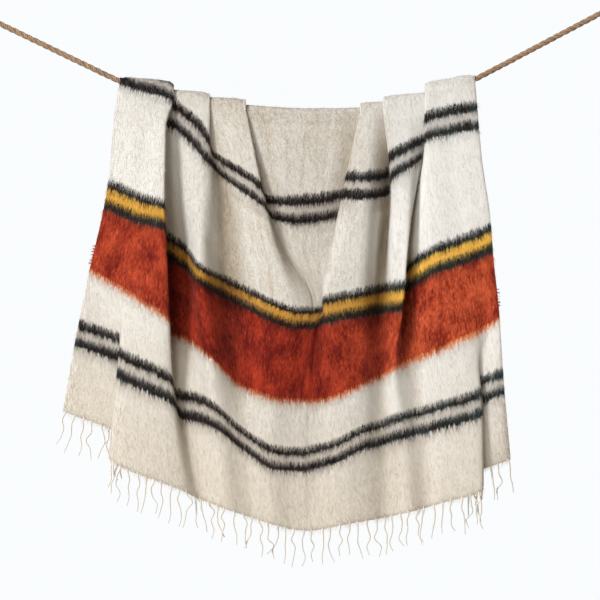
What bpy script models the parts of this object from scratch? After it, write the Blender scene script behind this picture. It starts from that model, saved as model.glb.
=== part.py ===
"""Handwoven wool throw hung over a sagging three-strand jute rope.

The throw is one sheet of cloth. It passes over the rope with its middle a little to the front. At the rope it is
pushed together into three stacked pleats at each side of a low middle panel, and it opens into soft folds towards
its fringed hems. Fold lines run from the rope to the hem. Each has one row in FOLDS, with its place at seven
heights. Those heights are the rope's top and six weft threads, so that the stripes of the cloth follow them.

Axes: +X to the right of the seen face, +Z up, the seen face looks along -Y. The origin is the inner crown of the
eye at the rope's left end, where the rope is tied up.
"""

import math
from collections import namedtuple

import bpy
import numpy as np

MM = 0.001

# The reference view. Places seen there are kept in its pixels, across from its left and down from its top.
PIXEL = 2.18 * MM
VIEW_MIDDLE = 300.0
VIEW_BOTTOM = 600.0

# Cloth, flat
CLOTH_WIDTH = 1270 * MM
CLOTH_LENGTH = 1520 * MM
CLOTH_THICKNESS = 3.0 * MM
HEM = CLOTH_LENGTH / 2

# Weft threads that the fold table names, as lengths along the warp from the middle of the cloth
UPPER_THREAD = 90 * MM
BAND_TOP = 255 * MM
BAND_BOTTOM = 307 * MM
RED_EDGE = 460 * MM
LOWER_PAIR = 597 * MM
THREADS = (UPPER_THREAD, BAND_TOP, BAND_BOTTOM, RED_EDGE, LOWER_PAIR, HEM)

# Rope
ROPE_DIAMETER = 12.7 * MM
ROPE_LAY = 56 * MM
ROPE_STRANDS = 3
ROPE_STEPS_A_TURN = 6
GROOVE_SHARE = 0.80
ROPE_PATH_STEPS = 400
ROPE_TO_CLOTH = 0.9 * MM
PIECE_GAP = 0.3 * MM

# The lowest layer of cloth on the rope, and how much of a pleat's height over it shows at its sides too
LOWEST_LAYER = ROPE_DIAMETER / 2 + ROPE_TO_CLOTH + CLOTH_THICKNESS / 2
SIDE_SHARE = 0.55

# Eye and seizing at each end of the rope. The eye's two legs part along the stops: share of the way to its
# crown, and distance from its middle
EYE_RADIUS = 26 * MM
EYE_LENGTH = 84 * MM
EYE_LEG = ROPE_DIAMETER / 2 + 0.4 * MM
EYE_STOPS = ((0.0, EYE_LEG), (0.12, EYE_LEG), (0.30, EYE_LEG + 0.14 * EYE_RADIUS), (0.66, 0.80 * EYE_RADIUS))
EYE_TURNS = range(75, -76, -15)
EYE_PATH_STEPS = 88
SEIZING_LENGTH = 42 * MM
SEIZING_RADIUS = 13.6 * MM
SEIZING_FLATNESS = 0.62
SEIZING_GROOVE = 0.88
SEIZING_TURNS = 7
SEIZING_SIDES = 12
EYE_START = SEIZING_LENGTH + 3 * PIECE_GAP

# Fringe
STRAND_SPACING = 20 * MM
STRAND_WIDTH = 3.8 * MM
STRAND_UNEVENNESS = 0.14
STRAND_SHORTEST = 76 * MM
STRAND_LONGEST = 89 * MM
STRAND_STEPS = 3
STRAND_TAPER = 0.25
STRAND_SWAY = 3 * MM
STRAND_WAVES = 1.2
LEFT_BOW = -18 * MM
RIGHT_BOW = 8 * MM
BOW_SHARE = 0.06
STRIP_GAP = 0.9 * MM
STRIP_HEIGHT = 4 * MM
STRIP_DEPTH = 2.4 * MM
FRINGE_SEED = 7

# Mesh steps of the cloth
ARC_ROWS = (0.0, 30.0, 60.0, 90.0)
UPPER_ROWS = (0.3, 0.65, 1.0)
ROWS_BETWEEN_THREADS = (4, 1, 3, 2, 3)
BACK_ROWS = (0.14, 0.32, 0.53, 0.76, 1.0)
COLUMN_LENGTH = 36 * MM

# The rope's route in the view: across, down
ROPE_ROUTE = (
    (-6.0, 20.8), (0.0, 23.7), (30.0, 38.1), (60.0, 52.6), (90.0, 67.0),
    (120.0, 81.2), (140.0, 88.9), (160.0, 94.9), (185.0, 100.8), (210.0, 105.5),
    (240.0, 109.9), (270.0, 112.6), (300.0, 114.2), (325.0, 114.6), (350.0, 113.8),
    (375.0, 111.0), (400.0, 106.6), (425.0, 100.2), (450.0, 90.9), (475.0, 79.2),
    (500.0, 66.2), (530.0, 50.4), (565.0, 31.9), (600.0, 13.4), (606.0, 10.2),
)

# One row for each fold line, from the left edge to the right edge. The seven columns are the rope's top, then the
# threads in THREADS. "across" and "down" are places in the view, in pixels. "out" is how far the line stands in
# front of the rope's middle at the six threads, in millimetres. "back" is how far it stands behind it there.
Fold = namedtuple("Fold", "name across down out back")
FOLDS = (
    Fold("left_edge",
         (120, 115, 109, 104, 90, 77, 63), (79, 110, 180, 209, 270, 333, 411), (24, 24, 22, 18, 18, 16), 34),
    Fold("strip_valley",
         (140, 137, 133, 129, 114, 133, 128), (79, 117, 190, 219, 284, 355, 440), (34, 42, 42, 36, 26, 22), 44),
    Fold("strip_ridge",
         (154, 148, 144, 141, 127, 119, 110), (80, 120, 195, 224, 292, 362, 457), (38, 50, 52, 50, 48, 48), 36),
    Fold("a_ridge",
         (174, 166, 165, 166, 170, 172, 183), (84, 128, 203, 232, 320, 388, 490), (46, 66, 70, 74, 62, 50), 48),
    Fold("a_b_valley",
         (157, 151, 151, 153, 161, 177, 200), (90, 147, 220, 249, 331, 403, 499), (8, 9, 9, 16, 26, 28), 8),
    Fold("b_foot",
         (180, 176, 184, 186, 190, 200, 214), (91, 158, 243, 270, 340, 408, 504), (12, 8, 10, 20, 32, 34), 30),
    Fold("b_ridge",
         (210, 206, 202, 203, 210, 216, 228), (94, 190, 265, 286, 356, 415, 509), (36, 58, 64, 64, 54, 46), 44),
    Fold("b_c_valley",
         (194, 224, 227, 229, 238, 243, 252), (97, 201, 277, 300, 384, 438, 517), (8, 8, 16, 40, 44, 38), 6),
    Fold("c_ridge",
         (246, 272, 290, 285, 272, 271, 274), (100, 236, 306, 326, 397, 456, 524), (42, 55, 65, 61, 54, 46), 46),
    Fold("c_d_valley",
         (231, 280, 310, 305, 292, 289, 289), (103, 243, 308, 329, 400, 459, 528), (16, 45, 60, 57, 48, 40), 8),
    Fold("d_middle",
         (300, 303, 317, 313, 305, 303, 304), (109, 248, 308, 329, 400, 459, 530), (8, 36, 56, 54, 45, 37), 12),
    Fold("d_e_valley",
         (374, 347, 330, 319, 317, 317, 319), (107, 236, 302, 326, 400, 456, 529), (12, 30, 50, 53, 46, 40), 8),
    Fold("e_ridge",
         (360, 336, 323, 328, 338, 338, 338), (104, 226, 297, 323, 395, 449, 525), (50, 78, 76, 66, 57, 50), 46),
    Fold("e_crest",
         (370, 366, 362, 360, 362, 364, 366), (103, 225, 289, 317, 384, 436, 520), (64, 80, 78, 68, 56, 46), 36),
    Fold("e_f_valley",
         (397, 388, 381, 380, 380, 382, 386), (101, 219, 285, 314, 376, 432, 517), (4, 28, 42, 46, 38, 32), 8),
    Fold("f_left",
         (383, 392, 391, 390, 388, 392, 398), (97, 208, 283, 312, 372, 428, 514), (40, 41, 49, 50, 43, 37), 42),
    Fold("f_ridge",
         (405, 409, 404, 401, 394, 402, 410), (95, 197, 281, 311, 368, 425, 511), (52, 66, 70, 64, 52, 46), 40),
    Fold("f_g_valley",
         (441, 419, 400, 399, 408, 418, 426), (92, 181, 271, 299, 362, 421, 507), (14, 12, 22, 42, 40, 36), 6),
    Fold("g_ridge",
         (425, 425, 430, 431, 434, 438, 442), (84, 170, 247, 275, 351, 415, 502), (36, 48, 52, 56, 52, 48), 46),
    Fold("strip_crest",
         (446, 452, 462, 465, 471, 480, 482), (80, 161, 236, 264, 335, 401, 489), (40, 52, 58, 62, 58, 54), 36),
    Fold("right_valley",
         (460, 466, 474, 478, 484, 470, 465), (77, 158, 231, 259, 328, 396, 478), (42, 54, 58, 54, 44, 36), 40),
    Fold("right_edge",
         (475, 481, 490, 492, 499, 503, 510), (75, 156, 224, 253, 318, 381, 459), (42, 54, 60, 60, 50, 34), 32),
)

# The back of the cloth hangs almost straight, a little within the outline of the front
BACK_LEFT = 114.0
BACK_RIGHT = 490.0
BACK_SPREAD = 0.75

# Stops down the back: share of its length, of its spread across and of its depth
BACK_STOPS = ((0.35, 0.5, 0.85), (0.7, 0.85, 1.0), (1.0, 1.0, 0.95))

COLOURS = {
    "throw": (0.80, 0.75, 0.67, 1.0),
    "fringe": (0.78, 0.71, 0.60, 1.0),
    "rope": (0.42, 0.26, 0.15, 1.0),
    "seizing": (0.34, 0.21, 0.12, 1.0),
}


def clear_scene():
    """Remove what the scene holds before the model is made."""
    for item in list(bpy.data.objects):
        bpy.data.objects.remove(item, do_unlink=True)


def seen(across, down):
    """X and Z of a place in the reference view."""
    return (across - VIEW_MIDDLE) * PIXEL, (VIEW_BOTTOM - down) * PIXEL


def smooth_slopes(places, values):
    """Slopes of a curve through the values that doesn't overshoot them."""
    steps = np.diff(places)
    rises = np.diff(values, axis=0) / steps[:, None]
    slopes = np.zeros_like(values)
    slopes[0] = rises[0]
    slopes[-1] = rises[-1]
    for i in range(1, len(places) - 1):
        before, after = rises[i - 1], rises[i]
        weight_a = 2 * steps[i] + steps[i - 1]
        weight_b = steps[i] + 2 * steps[i - 1]
        same_way = before * after > 0
        safe_before = np.where(same_way, before, 1.0)
        safe_after = np.where(same_way, after, 1.0)
        mean = (weight_a + weight_b) / (weight_a / safe_before + weight_b / safe_after)
        slopes[i] = np.where(same_way, mean, 0.0)
    return slopes


def smooth_curve(places, values, wanted):
    """The curve through the values at the places, read at the wanted places."""
    places = np.asarray(places, float)
    values = np.asarray(values, float)
    slopes = smooth_slopes(places, values)
    wanted = np.clip(np.asarray(wanted, float), places[0], places[-1])
    at = np.clip(np.searchsorted(places, wanted, side="right") - 1, 0, len(places) - 2)
    step = (places[at + 1] - places[at])[:, None]
    t = (wanted - places[at])[:, None] / step
    return (
        (1 + 2 * t) * (1 - t) ** 2 * values[at]
        + t * (1 - t) ** 2 * step * slopes[at]
        + t**2 * (3 - 2 * t) * values[at + 1]
        + t**2 * (t - 1) * step * slopes[at + 1]
    )


def rope_heights(x):
    """Height of the rope's middle, and its slope, at each x."""
    route = np.array([seen(*point) for point in ROPE_ROUTE])
    heights = smooth_curve(route[:, 0], route[:, 1:], x)[:, 0]
    ahead = smooth_curve(route[:, 0], route[:, 1:], x + MM)[:, 0]
    return heights, (ahead - heights) / MM


def clear_of_rope(points):
    """Push points out to where the lowest layer of cloth lies on the rope."""
    heights, slopes = rope_heights(points[:, 0])
    lean = 1 / np.sqrt(1 + slopes**2)
    up = (points[:, 2] - heights) * lean
    distance = np.hypot(up, points[:, 1])
    short = distance < LOWEST_LAYER
    share = LOWEST_LAYER / np.maximum(distance, MM)
    moved = points.copy()
    moved[short, 1] = points[short, 1] * share[short]
    moved[short, 2] = heights[short] + up[short] * share[short] / lean[short]
    return moved


def fold_arc(fold, back):
    """A fold line's points over the rope, from its top to one side, each with the distance walked."""
    x_top, z_top = seen(fold.across[0], fold.down[0])
    rope_z, rope_slope = rope_heights(np.array([x_top]))
    rise = max(z_top - rope_z[0], LOWEST_LAYER * math.hypot(1, rope_slope[0]))
    reach = LOWEST_LAYER + SIDE_SHARE * (rise - LOWEST_LAYER)
    side = 1.0 if back else -1.0
    rows = []
    walked = 0.0
    last = None
    for degrees in ARC_ROWS:
        turn = math.radians(degrees)
        point = np.array([x_top, side * reach * math.sin(turn), rope_z[0] + rise * math.cos(turn)])
        if last is not None:
            walked += np.linalg.norm(point - last)
        rows.append((point, walked))
        last = point
    return rows


def front_line(fold):
    """Points and warp lengths of one fold line on the seen side."""
    rows = fold_arc(fold, False)
    stops = [rows[-1][0]]
    for across, down, out in zip(fold.across[1:], fold.down[1:], fold.out):
        x, z = seen(across, down)
        stops.append(np.array([x, -out * MM, z]))
    stops = np.array(stops)
    first = np.linalg.norm(stops[1] - stops[0])
    lengths = [0.0, first] + [first + thread - UPPER_THREAD for thread in THREADS[1:]]
    wanted = [share * first for share in UPPER_ROWS]
    for low, high, count in zip(lengths[1:], lengths[2:], ROWS_BETWEEN_THREADS):
        wanted += [low + (high - low) * (i + 1) / count for i in range(count)]
    curve = smooth_curve(lengths, stops, wanted)
    top_thread = UPPER_THREAD - first - rows[-1][1]
    points = [point for point, _ in rows] + list(curve)
    warps = [top_thread + walked for _, walked in rows]
    warps += [top_thread + rows[-1][1] + length for length in wanted]
    return np.array(points), np.array(warps)


def back_line(fold, top_thread, share_across):
    """Points and warp lengths of one fold line behind the rope, from below its top to the far hem."""
    rows = fold_arc(fold, True)
    start = rows[-1][0]
    left, _ = seen(BACK_LEFT, 0)
    right, _ = seen(BACK_RIGHT, 0)
    length = HEM + top_thread - rows[-1][1]
    even = left + (right - left) * share_across
    end_x = start[0] + (even - start[0]) * BACK_SPREAD
    if share_across in (0.0, 1.0):
        end_x = even
    deep = fold.back * MM
    stops = [start]
    for share, spread, depth in BACK_STOPS:
        stops.append(
            np.array([start[0] + (end_x - start[0]) * spread, deep * depth, start[2] - length * share])
        )
    curve = smooth_curve([0.0] + [stop[0] for stop in BACK_STOPS], np.array(stops), BACK_ROWS)
    points = [point for point, _ in rows[1:]] + list(curve)
    warps = [top_thread - walked for _, walked in rows[1:]]
    warps += [top_thread - rows[-1][1] - length * share for share in BACK_ROWS]
    return np.array(points), np.array(warps)


def across_row(points, counts):
    """A smooth curve through one row's fold points, with counts[i] steps in interval i."""
    padded = np.vstack([2 * points[0] - points[1], points, 2 * points[-1] - points[-2]])
    knots = np.concatenate([[0.0], np.cumsum(np.sqrt(np.linalg.norm(np.diff(padded, axis=0), axis=1)))])
    made = []
    for i, count in enumerate(counts):
        p0, p1, p2, p3 = padded[i : i + 4]
        t0, t1, t2, t3 = knots[i : i + 4]
        for step in range(count):
            t = t1 + (t2 - t1) * step / count
            a1 = (t1 - t) / (t1 - t0) * p0 + (t - t0) / (t1 - t0) * p1
            a2 = (t2 - t) / (t2 - t1) * p1 + (t - t1) / (t2 - t1) * p2
            a3 = (t3 - t) / (t3 - t2) * p2 + (t - t2) / (t3 - t2) * p3
            b1 = (t2 - t) / (t2 - t0) * a1 + (t - t0) / (t2 - t0) * a2
            b2 = (t3 - t) / (t3 - t1) * a2 + (t - t1) / (t3 - t1) * a3
            made.append((t2 - t) / (t2 - t1) * b1 + (t - t1) / (t2 - t1) * b2)
    made.append(points[-1])
    return np.array(made)


def column_counts(lines):
    """Steps between neighbouring fold lines, by the widest space that they have."""
    gaps = [np.linalg.norm(a - b, axis=1).max() for a, b in zip(lines, lines[1:])]
    return [max(2, round(gap / COLUMN_LENGTH)) for gap in gaps]


def cloth_grid():
    """The middle surface of the hung cloth, in rows from the back hem over the rope to the front hem."""
    fronts = [front_line(fold) for fold in FOLDS]
    tops = np.array([points[0] for points, _ in fronts])
    widths = np.concatenate([[0.0], np.cumsum(np.linalg.norm(np.diff(tops, axis=0), axis=1))])
    shares = widths / widths[-1]
    backs = [back_line(fold, warps[0], share) for fold, (_, warps), share in zip(FOLDS, fronts, shares)]
    lines = []
    for (front, _), (back, _) in zip(fronts, backs):
        lines.append(np.vstack([back[::-1], front]))
    counts = column_counts(lines)
    rows = np.array([across_row(row, counts) for row in np.stack(lines, axis=1)])
    shape = rows.shape
    return clear_of_rope(rows.reshape(-1, 3)).reshape(shape)


def grid_normals(grid):
    """Unit normals of a grid of points, pointing away from the rope."""
    along = np.gradient(grid, axis=0)
    across = np.gradient(grid, axis=1)
    normals = np.cross(along, across)
    return normals / np.linalg.norm(normals, axis=2, keepdims=True)


def closed_sheet(grid, thickness):
    """Vertices and faces of a sheet of one thickness round a grid of points."""
    rows, columns = grid.shape[:2]
    normals = grid_normals(grid)
    outer = (grid + normals * thickness / 2).reshape(-1, 3)
    inner = (grid - normals * thickness / 2).reshape(-1, 3)
    count = rows * columns
    faces = []
    for i in range(rows - 1):
        for j in range(columns - 1):
            a, b = i * columns + j, i * columns + j + 1
            c, d = b + columns, a + columns
            faces.append((a, d, c, b))
            faces.append((a + count, b + count, c + count, d + count))
    rim = list(range(columns))
    rim += [i * columns + columns - 1 for i in range(1, rows)]
    rim += [(rows - 1) * columns + j for j in range(columns - 2, -1, -1)]
    rim += [i * columns for i in range(rows - 2, 0, -1)]
    for a, b in zip(rim, rim[1:] + rim[:1]):
        faces.append((a, b, b + count, a + count))
    return np.vstack([outer, inner]), faces


def make_material(name, colour, roughness=0.95):
    """A plain material of the finish's own colour."""
    material = bpy.data.materials.new(name)
    material.use_nodes = True
    surface = material.node_tree.nodes["Principled BSDF"]
    surface.inputs["Base Color"].default_value = colour
    surface.inputs["Roughness"].default_value = roughness
    surface.inputs["Metallic"].default_value = 0.0
    return material


def make_object(name, vertices, faces, material, root):
    """A named object with its own mesh, carried by the root."""
    mesh = bpy.data.meshes.new(name)
    mesh.from_pydata([tuple(v) for v in vertices], [], faces)
    mesh.validate()
    mesh.materials.append(material)
    mesh.shade_smooth()
    made = bpy.data.objects.new(name, mesh)
    bpy.context.scene.collection.objects.link(made)
    made.parent = root
    return made


def walked_along(points):
    """Distance along a line of points."""
    return np.concatenate([[0.0], np.cumsum(np.linalg.norm(np.diff(points, axis=0), axis=1))])


def twisted_tube(path, turned_from=0.0):
    """A three-strand rope along a path in the XZ plane: each ring is turned a little further than the last."""
    fine = walked_along(path)
    steps = max(2, round(fine[-1] / ROPE_LAY * ROPE_STEPS_A_TURN))
    wanted = np.linspace(0, fine[-1], steps + 1)
    middles = np.stack([np.interp(wanted, fine, path[:, k]) for k in range(3)], axis=1)
    ahead = np.gradient(middles, axis=0)
    ahead /= np.linalg.norm(ahead, axis=1, keepdims=True)
    upward = np.stack([-ahead[:, 2], np.zeros(len(ahead)), ahead[:, 0]], axis=1)
    sideways = np.array([0.0, -1.0, 0.0])
    sides = 3 * ROPE_STRANDS
    vertices, faces = [], []
    for middle, up, walked in zip(middles, upward, wanted):
        turn = turned_from + 2 * math.pi * walked / ROPE_LAY
        for j in range(sides):
            radius = ROPE_DIAMETER / 2 * (GROOVE_SHARE if j % 3 == 0 else 1.0)
            angle = turn + 2 * math.pi * j / sides
            vertices.append(middle + radius * (math.cos(angle) * up + math.sin(angle) * sideways))
    for i in range(steps):
        for j in range(sides):
            a, b = i * sides + j, i * sides + (j + 1) % sides
            faces.append((a, b, b + sides, a + sides))
    faces.append(tuple(reversed(range(sides))))
    faces.append(tuple(range(steps * sides, (steps + 1) * sides)))
    return vertices, faces


def end_frame(left):
    """Where the rope ends on one side, and the direction in which it goes on outwards."""
    points = np.array([seen(*point) for point in ROPE_ROUTE])
    tip, before = (points[0], points[1]) if left else (points[-1], points[-2])
    way = (tip - before) / np.linalg.norm(tip - before)
    return np.array([tip[0], 0.0, tip[1]]), np.array([way[0], 0.0, way[1]])


def eye_path(left):
    """The rope's turned-back end: out of the seizing, round the crown and back to it."""
    tip, way = end_frame(left)
    start = tip + way * EYE_START
    lift = np.array([-way[2], 0.0, way[0]])
    reach = EYE_LENGTH - EYE_RADIUS - ROPE_DIAMETER / 2
    crown = start + way * reach
    turns = [math.radians(degrees) for degrees in EYE_TURNS]
    upper = [start + way * (share * reach) + lift * height for share, height in EYE_STOPS]
    round_crown = [crown + EYE_RADIUS * (math.cos(turn) * way + math.sin(turn) * lift) for turn in turns]
    lower = [start + way * (share * reach) - lift * height for share, height in reversed(EYE_STOPS)]
    stops = np.array(upper + round_crown + lower)
    walked = walked_along(stops)
    return smooth_curve(walked, stops, np.linspace(0, walked[-1], EYE_PATH_STEPS))


def make_seizing(name, left, material, root):
    """The twine wound round the two parts of the rope at an eye, ridged turn by turn."""
    tip, way = end_frame(left)
    lift = np.array([-way[2], 0.0, way[0]])
    sideways = np.array([0.0, -1.0, 0.0])
    start = tip + way * PIECE_GAP
    steps = 2 * SEIZING_TURNS
    vertices, faces = [], []
    for i in range(steps + 1):
        ridge = 1.0 if i % 2 else SEIZING_GROOVE
        for j in range(SEIZING_SIDES):
            angle = 2 * math.pi * j / SEIZING_SIDES
            tall = SEIZING_RADIUS * ridge * math.cos(angle)
            deep = SEIZING_FLATNESS * SEIZING_RADIUS * ridge * math.sin(angle)
            vertices.append(start + way * (SEIZING_LENGTH * i / steps) + tall * lift + deep * sideways)
    for i in range(steps):
        for j in range(SEIZING_SIDES):
            a, b = i * SEIZING_SIDES + j, i * SEIZING_SIDES + (j + 1) % SEIZING_SIDES
            faces.append((a, b, b + SEIZING_SIDES, a + SEIZING_SIDES))
    faces.append(tuple(reversed(range(SEIZING_SIDES))))
    faces.append(tuple(range(steps * SEIZING_SIDES, (steps + 1) * SEIZING_SIDES)))
    return make_object(name, vertices, faces, material, root)


def rope_path():
    """The rope's middle, finely stepped."""
    route = np.array([seen(*point) for point in ROPE_ROUTE])
    x = np.linspace(route[0, 0], route[-1, 0], ROPE_PATH_STEPS)
    heights, _ = rope_heights(x)
    return np.stack([x, np.zeros(len(x)), heights], axis=1)


def strand_places(walked):
    """Where the strands leave a hem: distances along it, evenly spaced with a little unevenness."""
    count = round(walked[-1] / STRAND_SPACING)
    spacing = walked[-1] / count
    chance = np.random.RandomState(FRINGE_SEED)
    shifts = chance.uniform(-STRAND_UNEVENNESS, STRAND_UNEVENNESS, count)
    return [spacing * (i + 0.5 + shift) for i, shift in enumerate(shifts)]


def strip_stations(walked, places):
    """Distances along a hem at which its strip has a section, and which of them start a strand."""
    half = STRAND_WIDTH / 2
    corners = [w for w in walked if all(abs(w - place) > half + MM for place in places)]
    starts = {place - half for place in places}
    ends = {place + half for place in places}
    stations = sorted(set(corners) | starts | ends)
    return stations, [station in starts for station in stations]


def hang_strand(vertices, faces, root_ring, pull, chance):
    """Add one strand that hangs from a face of the strip, narrowing and swaying on its way down."""
    sway = chance.uniform(-1, 1) * STRAND_SWAY
    length = chance.uniform(STRAND_SHORTEST, STRAND_LONGEST)
    middle = sum(vertices[v] for v in root_ring) / 4
    ring = root_ring
    for step in range(1, STRAND_STEPS + 1):
        part = step / STRAND_STEPS
        bend = pull * part + sway * math.sin(2 * math.pi * STRAND_WAVES * part)
        shift = np.array([bend, 0.0, -length * part])
        narrow = (1 - STRAND_TAPER * part) * np.array([1, 1, 0])
        new_ring = list(range(len(vertices), len(vertices) + 4))
        for v in root_ring:
            vertices.append(middle + (vertices[v] - middle) * narrow + shift)
        for j in range(4):
            k = (j + 1) % 4
            faces.append((ring[j], ring[k], new_ring[k], new_ring[j]))
        ring = new_ring
    faces.append(tuple(ring))


def make_fringe(name, edge, normals, hangs, material, root):
    """A narrow strip just off one hem of the cloth, with a four-sided strand hanging from each place."""
    walked = walked_along(edge)
    stations, starts = strip_stations(walked, strand_places(walked))
    line, across, onward = (
        np.stack([np.interp(stations, walked, values[:, k]) for k in range(3)], axis=1)
        for values in (edge, normals, hangs)
    )
    vertices, faces = [], []
    for point, side_way, way in zip(line, across, onward):
        for drop, side in ((0, 1), (0, -1), (STRIP_HEIGHT, -1), (STRIP_HEIGHT, 1)):
            vertices.append(point + way * (STRIP_GAP + drop) - side_way * side * STRIP_DEPTH / 2)
    chance = np.random.RandomState(FRINGE_SEED + 1)
    for i in range(len(line) - 1):
        a, b = 4 * i, 4 * (i + 1)
        for j in (0, 1, 3):
            k = (j + 1) % 4
            faces.append((a + j, a + k, b + k, b + j))
        if not starts[i]:
            faces.append((a + 2, a + 3, b + 3, b + 2))
            continue
        share = stations[i] / walked[-1]
        pull = LEFT_BOW * max(0.0, 1 - share / BOW_SHARE) + RIGHT_BOW * max(0.0, 1 - (1 - share) / BOW_SHARE)
        hang_strand(vertices, faces, [a + 2, a + 3, b + 3, b + 2], pull, chance)
    faces.append((3, 2, 1, 0))
    last = 4 * (len(line) - 1)
    faces.append((last, last + 1, last + 2, last + 3))
    return make_object(name, vertices, faces, material, root)


def main():
    clear_scene()
    root = bpy.data.objects.new("hanging_line", None)
    bpy.context.scene.collection.objects.link(root)
    tip, way = end_frame(True)
    inner_crown = tip + way * (EYE_START + EYE_LENGTH - ROPE_DIAMETER)
    root.location = -inner_crown

    wool = make_material("throw", COLOURS["throw"])
    yarn = make_material("fringe", COLOURS["fringe"])
    jute = make_material("rope", COLOURS["rope"])
    twine = make_material("seizing", COLOURS["seizing"])

    grid = cloth_grid()
    vertices, faces = closed_sheet(grid, CLOTH_THICKNESS)
    make_object("throw", vertices, faces, wool, root)
    normals = grid_normals(grid)
    for side, row, inside in (("front", -1, -2), ("back", 0, 1)):
        hangs = grid[row] - grid[inside]
        hangs /= np.linalg.norm(hangs, axis=1, keepdims=True)
        outward = normals[row] if side == "front" else -normals[row]
        make_fringe(f"fringe_{side}", grid[row], outward, hangs, yarn, root)

    vertices, faces = twisted_tube(rope_path())
    make_object("rope", vertices, faces, jute, root)
    for side, left in (("left", True), ("right", False)):
        vertices, faces = twisted_tube(eye_path(left))
        make_object(f"{side}_eye", vertices, faces, jute, root)
        make_seizing(f"{side}_seizing", left, twine, root)


main()
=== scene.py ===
"""Handwoven wool throw hung over a three-strand jute rope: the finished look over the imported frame.

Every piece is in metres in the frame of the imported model: +X to the right of the seen face, +Z up, the seen
face looking along -Y, and the origin at the inner crown of the rope's left eye.
"""

import math
from collections import namedtuple

import bpy
import numpy as np
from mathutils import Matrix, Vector


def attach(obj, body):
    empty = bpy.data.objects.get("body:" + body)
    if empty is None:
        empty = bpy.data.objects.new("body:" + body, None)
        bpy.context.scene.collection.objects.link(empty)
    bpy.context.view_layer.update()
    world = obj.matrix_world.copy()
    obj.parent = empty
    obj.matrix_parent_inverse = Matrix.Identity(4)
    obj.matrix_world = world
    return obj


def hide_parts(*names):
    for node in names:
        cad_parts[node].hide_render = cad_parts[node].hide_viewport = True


MM = 0.001
UPWARDS = np.array([0.0, 0.0, 1.0])
TOWARDS_VIEW = np.array([0.0, -1.0, 0.0])

# The reference view. Places seen there are kept in its pixels, across from its left and down from its top.
PIXEL = 2.18 * MM
VIEW_MIDDLE = 300.0
VIEW_BOTTOM = 600.0
MIDDLE_X = 0.7698998
FOOT_Z = -1.3123523

# Camera and studio. A lamp's place is across from the middle of the view, then along Y and up Z
CAMERA_DISTANCE = 9.0
SENSOR_WIDTH = 36.0
SEEN_DEPTH = 10 * MM
SEEN_GROUND = (0.955, 0.975, 0.99, 1.0)
LIGHT_GROUND = (1.0, 0.84, 0.62, 1.0)
GROUND_STRENGTH = 0.20
LIT_HEIGHT = 0.75
Lamp = namedtuple("Lamp", "name place size power tint")
LAMPS = (
    Lamp("left softbox", (-5.4, -6.0, 3.1), 2.0, 648.0, (0.97, 0.985, 1.0)),
    Lamp("front softbox", (-3.0, -9.6, 0.8), 3.0, 225.0, (0.99, 0.985, 0.97)),
)
FLOOR_SIZE = 7.0
FLOOR_DROP = 0.44
PAPER = (0.86, 0.87, 0.88, 1.0)

# Cloth, flat
CLOTH_WIDTH = 1270 * MM
CLOTH_LENGTH = 1520 * MM
CLOTH_THICKNESS = 2.4 * MM
SOLID_THICKNESS = 3.0 * MM
HEM = CLOTH_LENGTH / 2

# Weft threads that the fold table names, as lengths along the warp from the middle of the cloth
UPPER_THREAD = 90 * MM
THREADS = (UPPER_THREAD, 255 * MM, 307 * MM, 460 * MM, 597 * MM, HEM)

# Rope, eyes and seizings. EYE_TURNS are the degrees at which the crown of an eye is drawn
ROPE_DIAMETER = 12.7 * MM
ROPE_LAY = 50 * MM
ROPE_STEPS = 40
STRAND_RADIUS = 3.15 * MM
STRAND_CIRCLE = 3.2 * MM
STRAND_STEP = 2.6 * MM
STRAND_LEAST_RINGS = 8
STRAND_SIDES = 10
STRAND_SWELL = 0.05
STRAND_SEED = 40
SWELL_SIZE = 11 * MM
ROPE_TO_CLOTH = 0.9 * MM
LOWEST_LAYER_GAP = 0.4 * MM
EYE_GAP = 0.9 * MM
EYE_RADIUS = 26 * MM
EYE_LENGTH = 84 * MM
EYE_STEPS = 90
EYE_TURNS = tuple(range(75, -76, -15))
LEG_GAP = 0.4 * MM
SEIZING_LENGTH = 42 * MM
SEIZING_RADIUS = 13.6 * MM
SEIZING_DEPTH_SHARE = 0.62
SEIZING_TURNS = 13
SEIZING_TURN_STEPS = 20
TWINE_RADIUS = 1.45 * MM
TWINE_SIDES = 7

# Fine steps of the cloth. ARC_ROWS are degrees round the rope, and ARC_DEPTH is how far a pleat that rises
# above the lowest layer also stands out from the rope, as a share of that rise
ARC_ROWS = tuple(range(0, 91, 10))
ARC_DEPTH = 0.55
TOP_STEPS = 14
ROW_STEP = 7.5 * MM
COLUMN_STEP = 7.5 * MM
LEAST_COLUMNS = 4
CURVE_SHARE = 1.15
BACK_STEP = 9 * MM

# Crown of the cloth over the rope: its swell, and the drop at the rounded corners of the fold lines there
CROWN_SWELL = 1.2 * MM
CROWN_REACH = 24 * MM
CORNER_DROP = 4.5 * MM
CORNER_WIDTH = 15 * MM
ROUNDED = ("left_edge", "a_ridge", "b_ridge", "c_ridge", "e_ridge", "f_left", "g_ridge", "right_edge")

# Unevenness of the cloth: height, size across the weft and along the warp in millimetres, the seed of its
# patches, and whether it fades out towards the rope
UNEVENNESS = ((1.7, 85, 330, 3, True), (0.8, 34, 90, 4, True), (0.35, 15, 22, 5, False))
UNEVEN_START = 30 * MM
UNEVEN_REACH = 120 * MM

# Painted shade in folds, from the depth in a fold: columns on each side that a point is set against, how far
# behind them it starts to count and over what depth it grows, and where it fades out at the selvedges and
# towards the rope
FOLD_BLUR = 8
FOLD_START = 3 * MM
FOLD_DEPTH = 9 * MM
FOLD_MARGIN = 90 * MM
FOLD_MARGIN_SHARE = 0.3
FOLD_HANG_START = 20 * MM
FOLD_HANG_REACH = 50 * MM

# The cloth thins towards its rims, down to a share of its thickness
RIM_TAPER = 10 * MM
RIM_SHARE = 0.3

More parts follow.
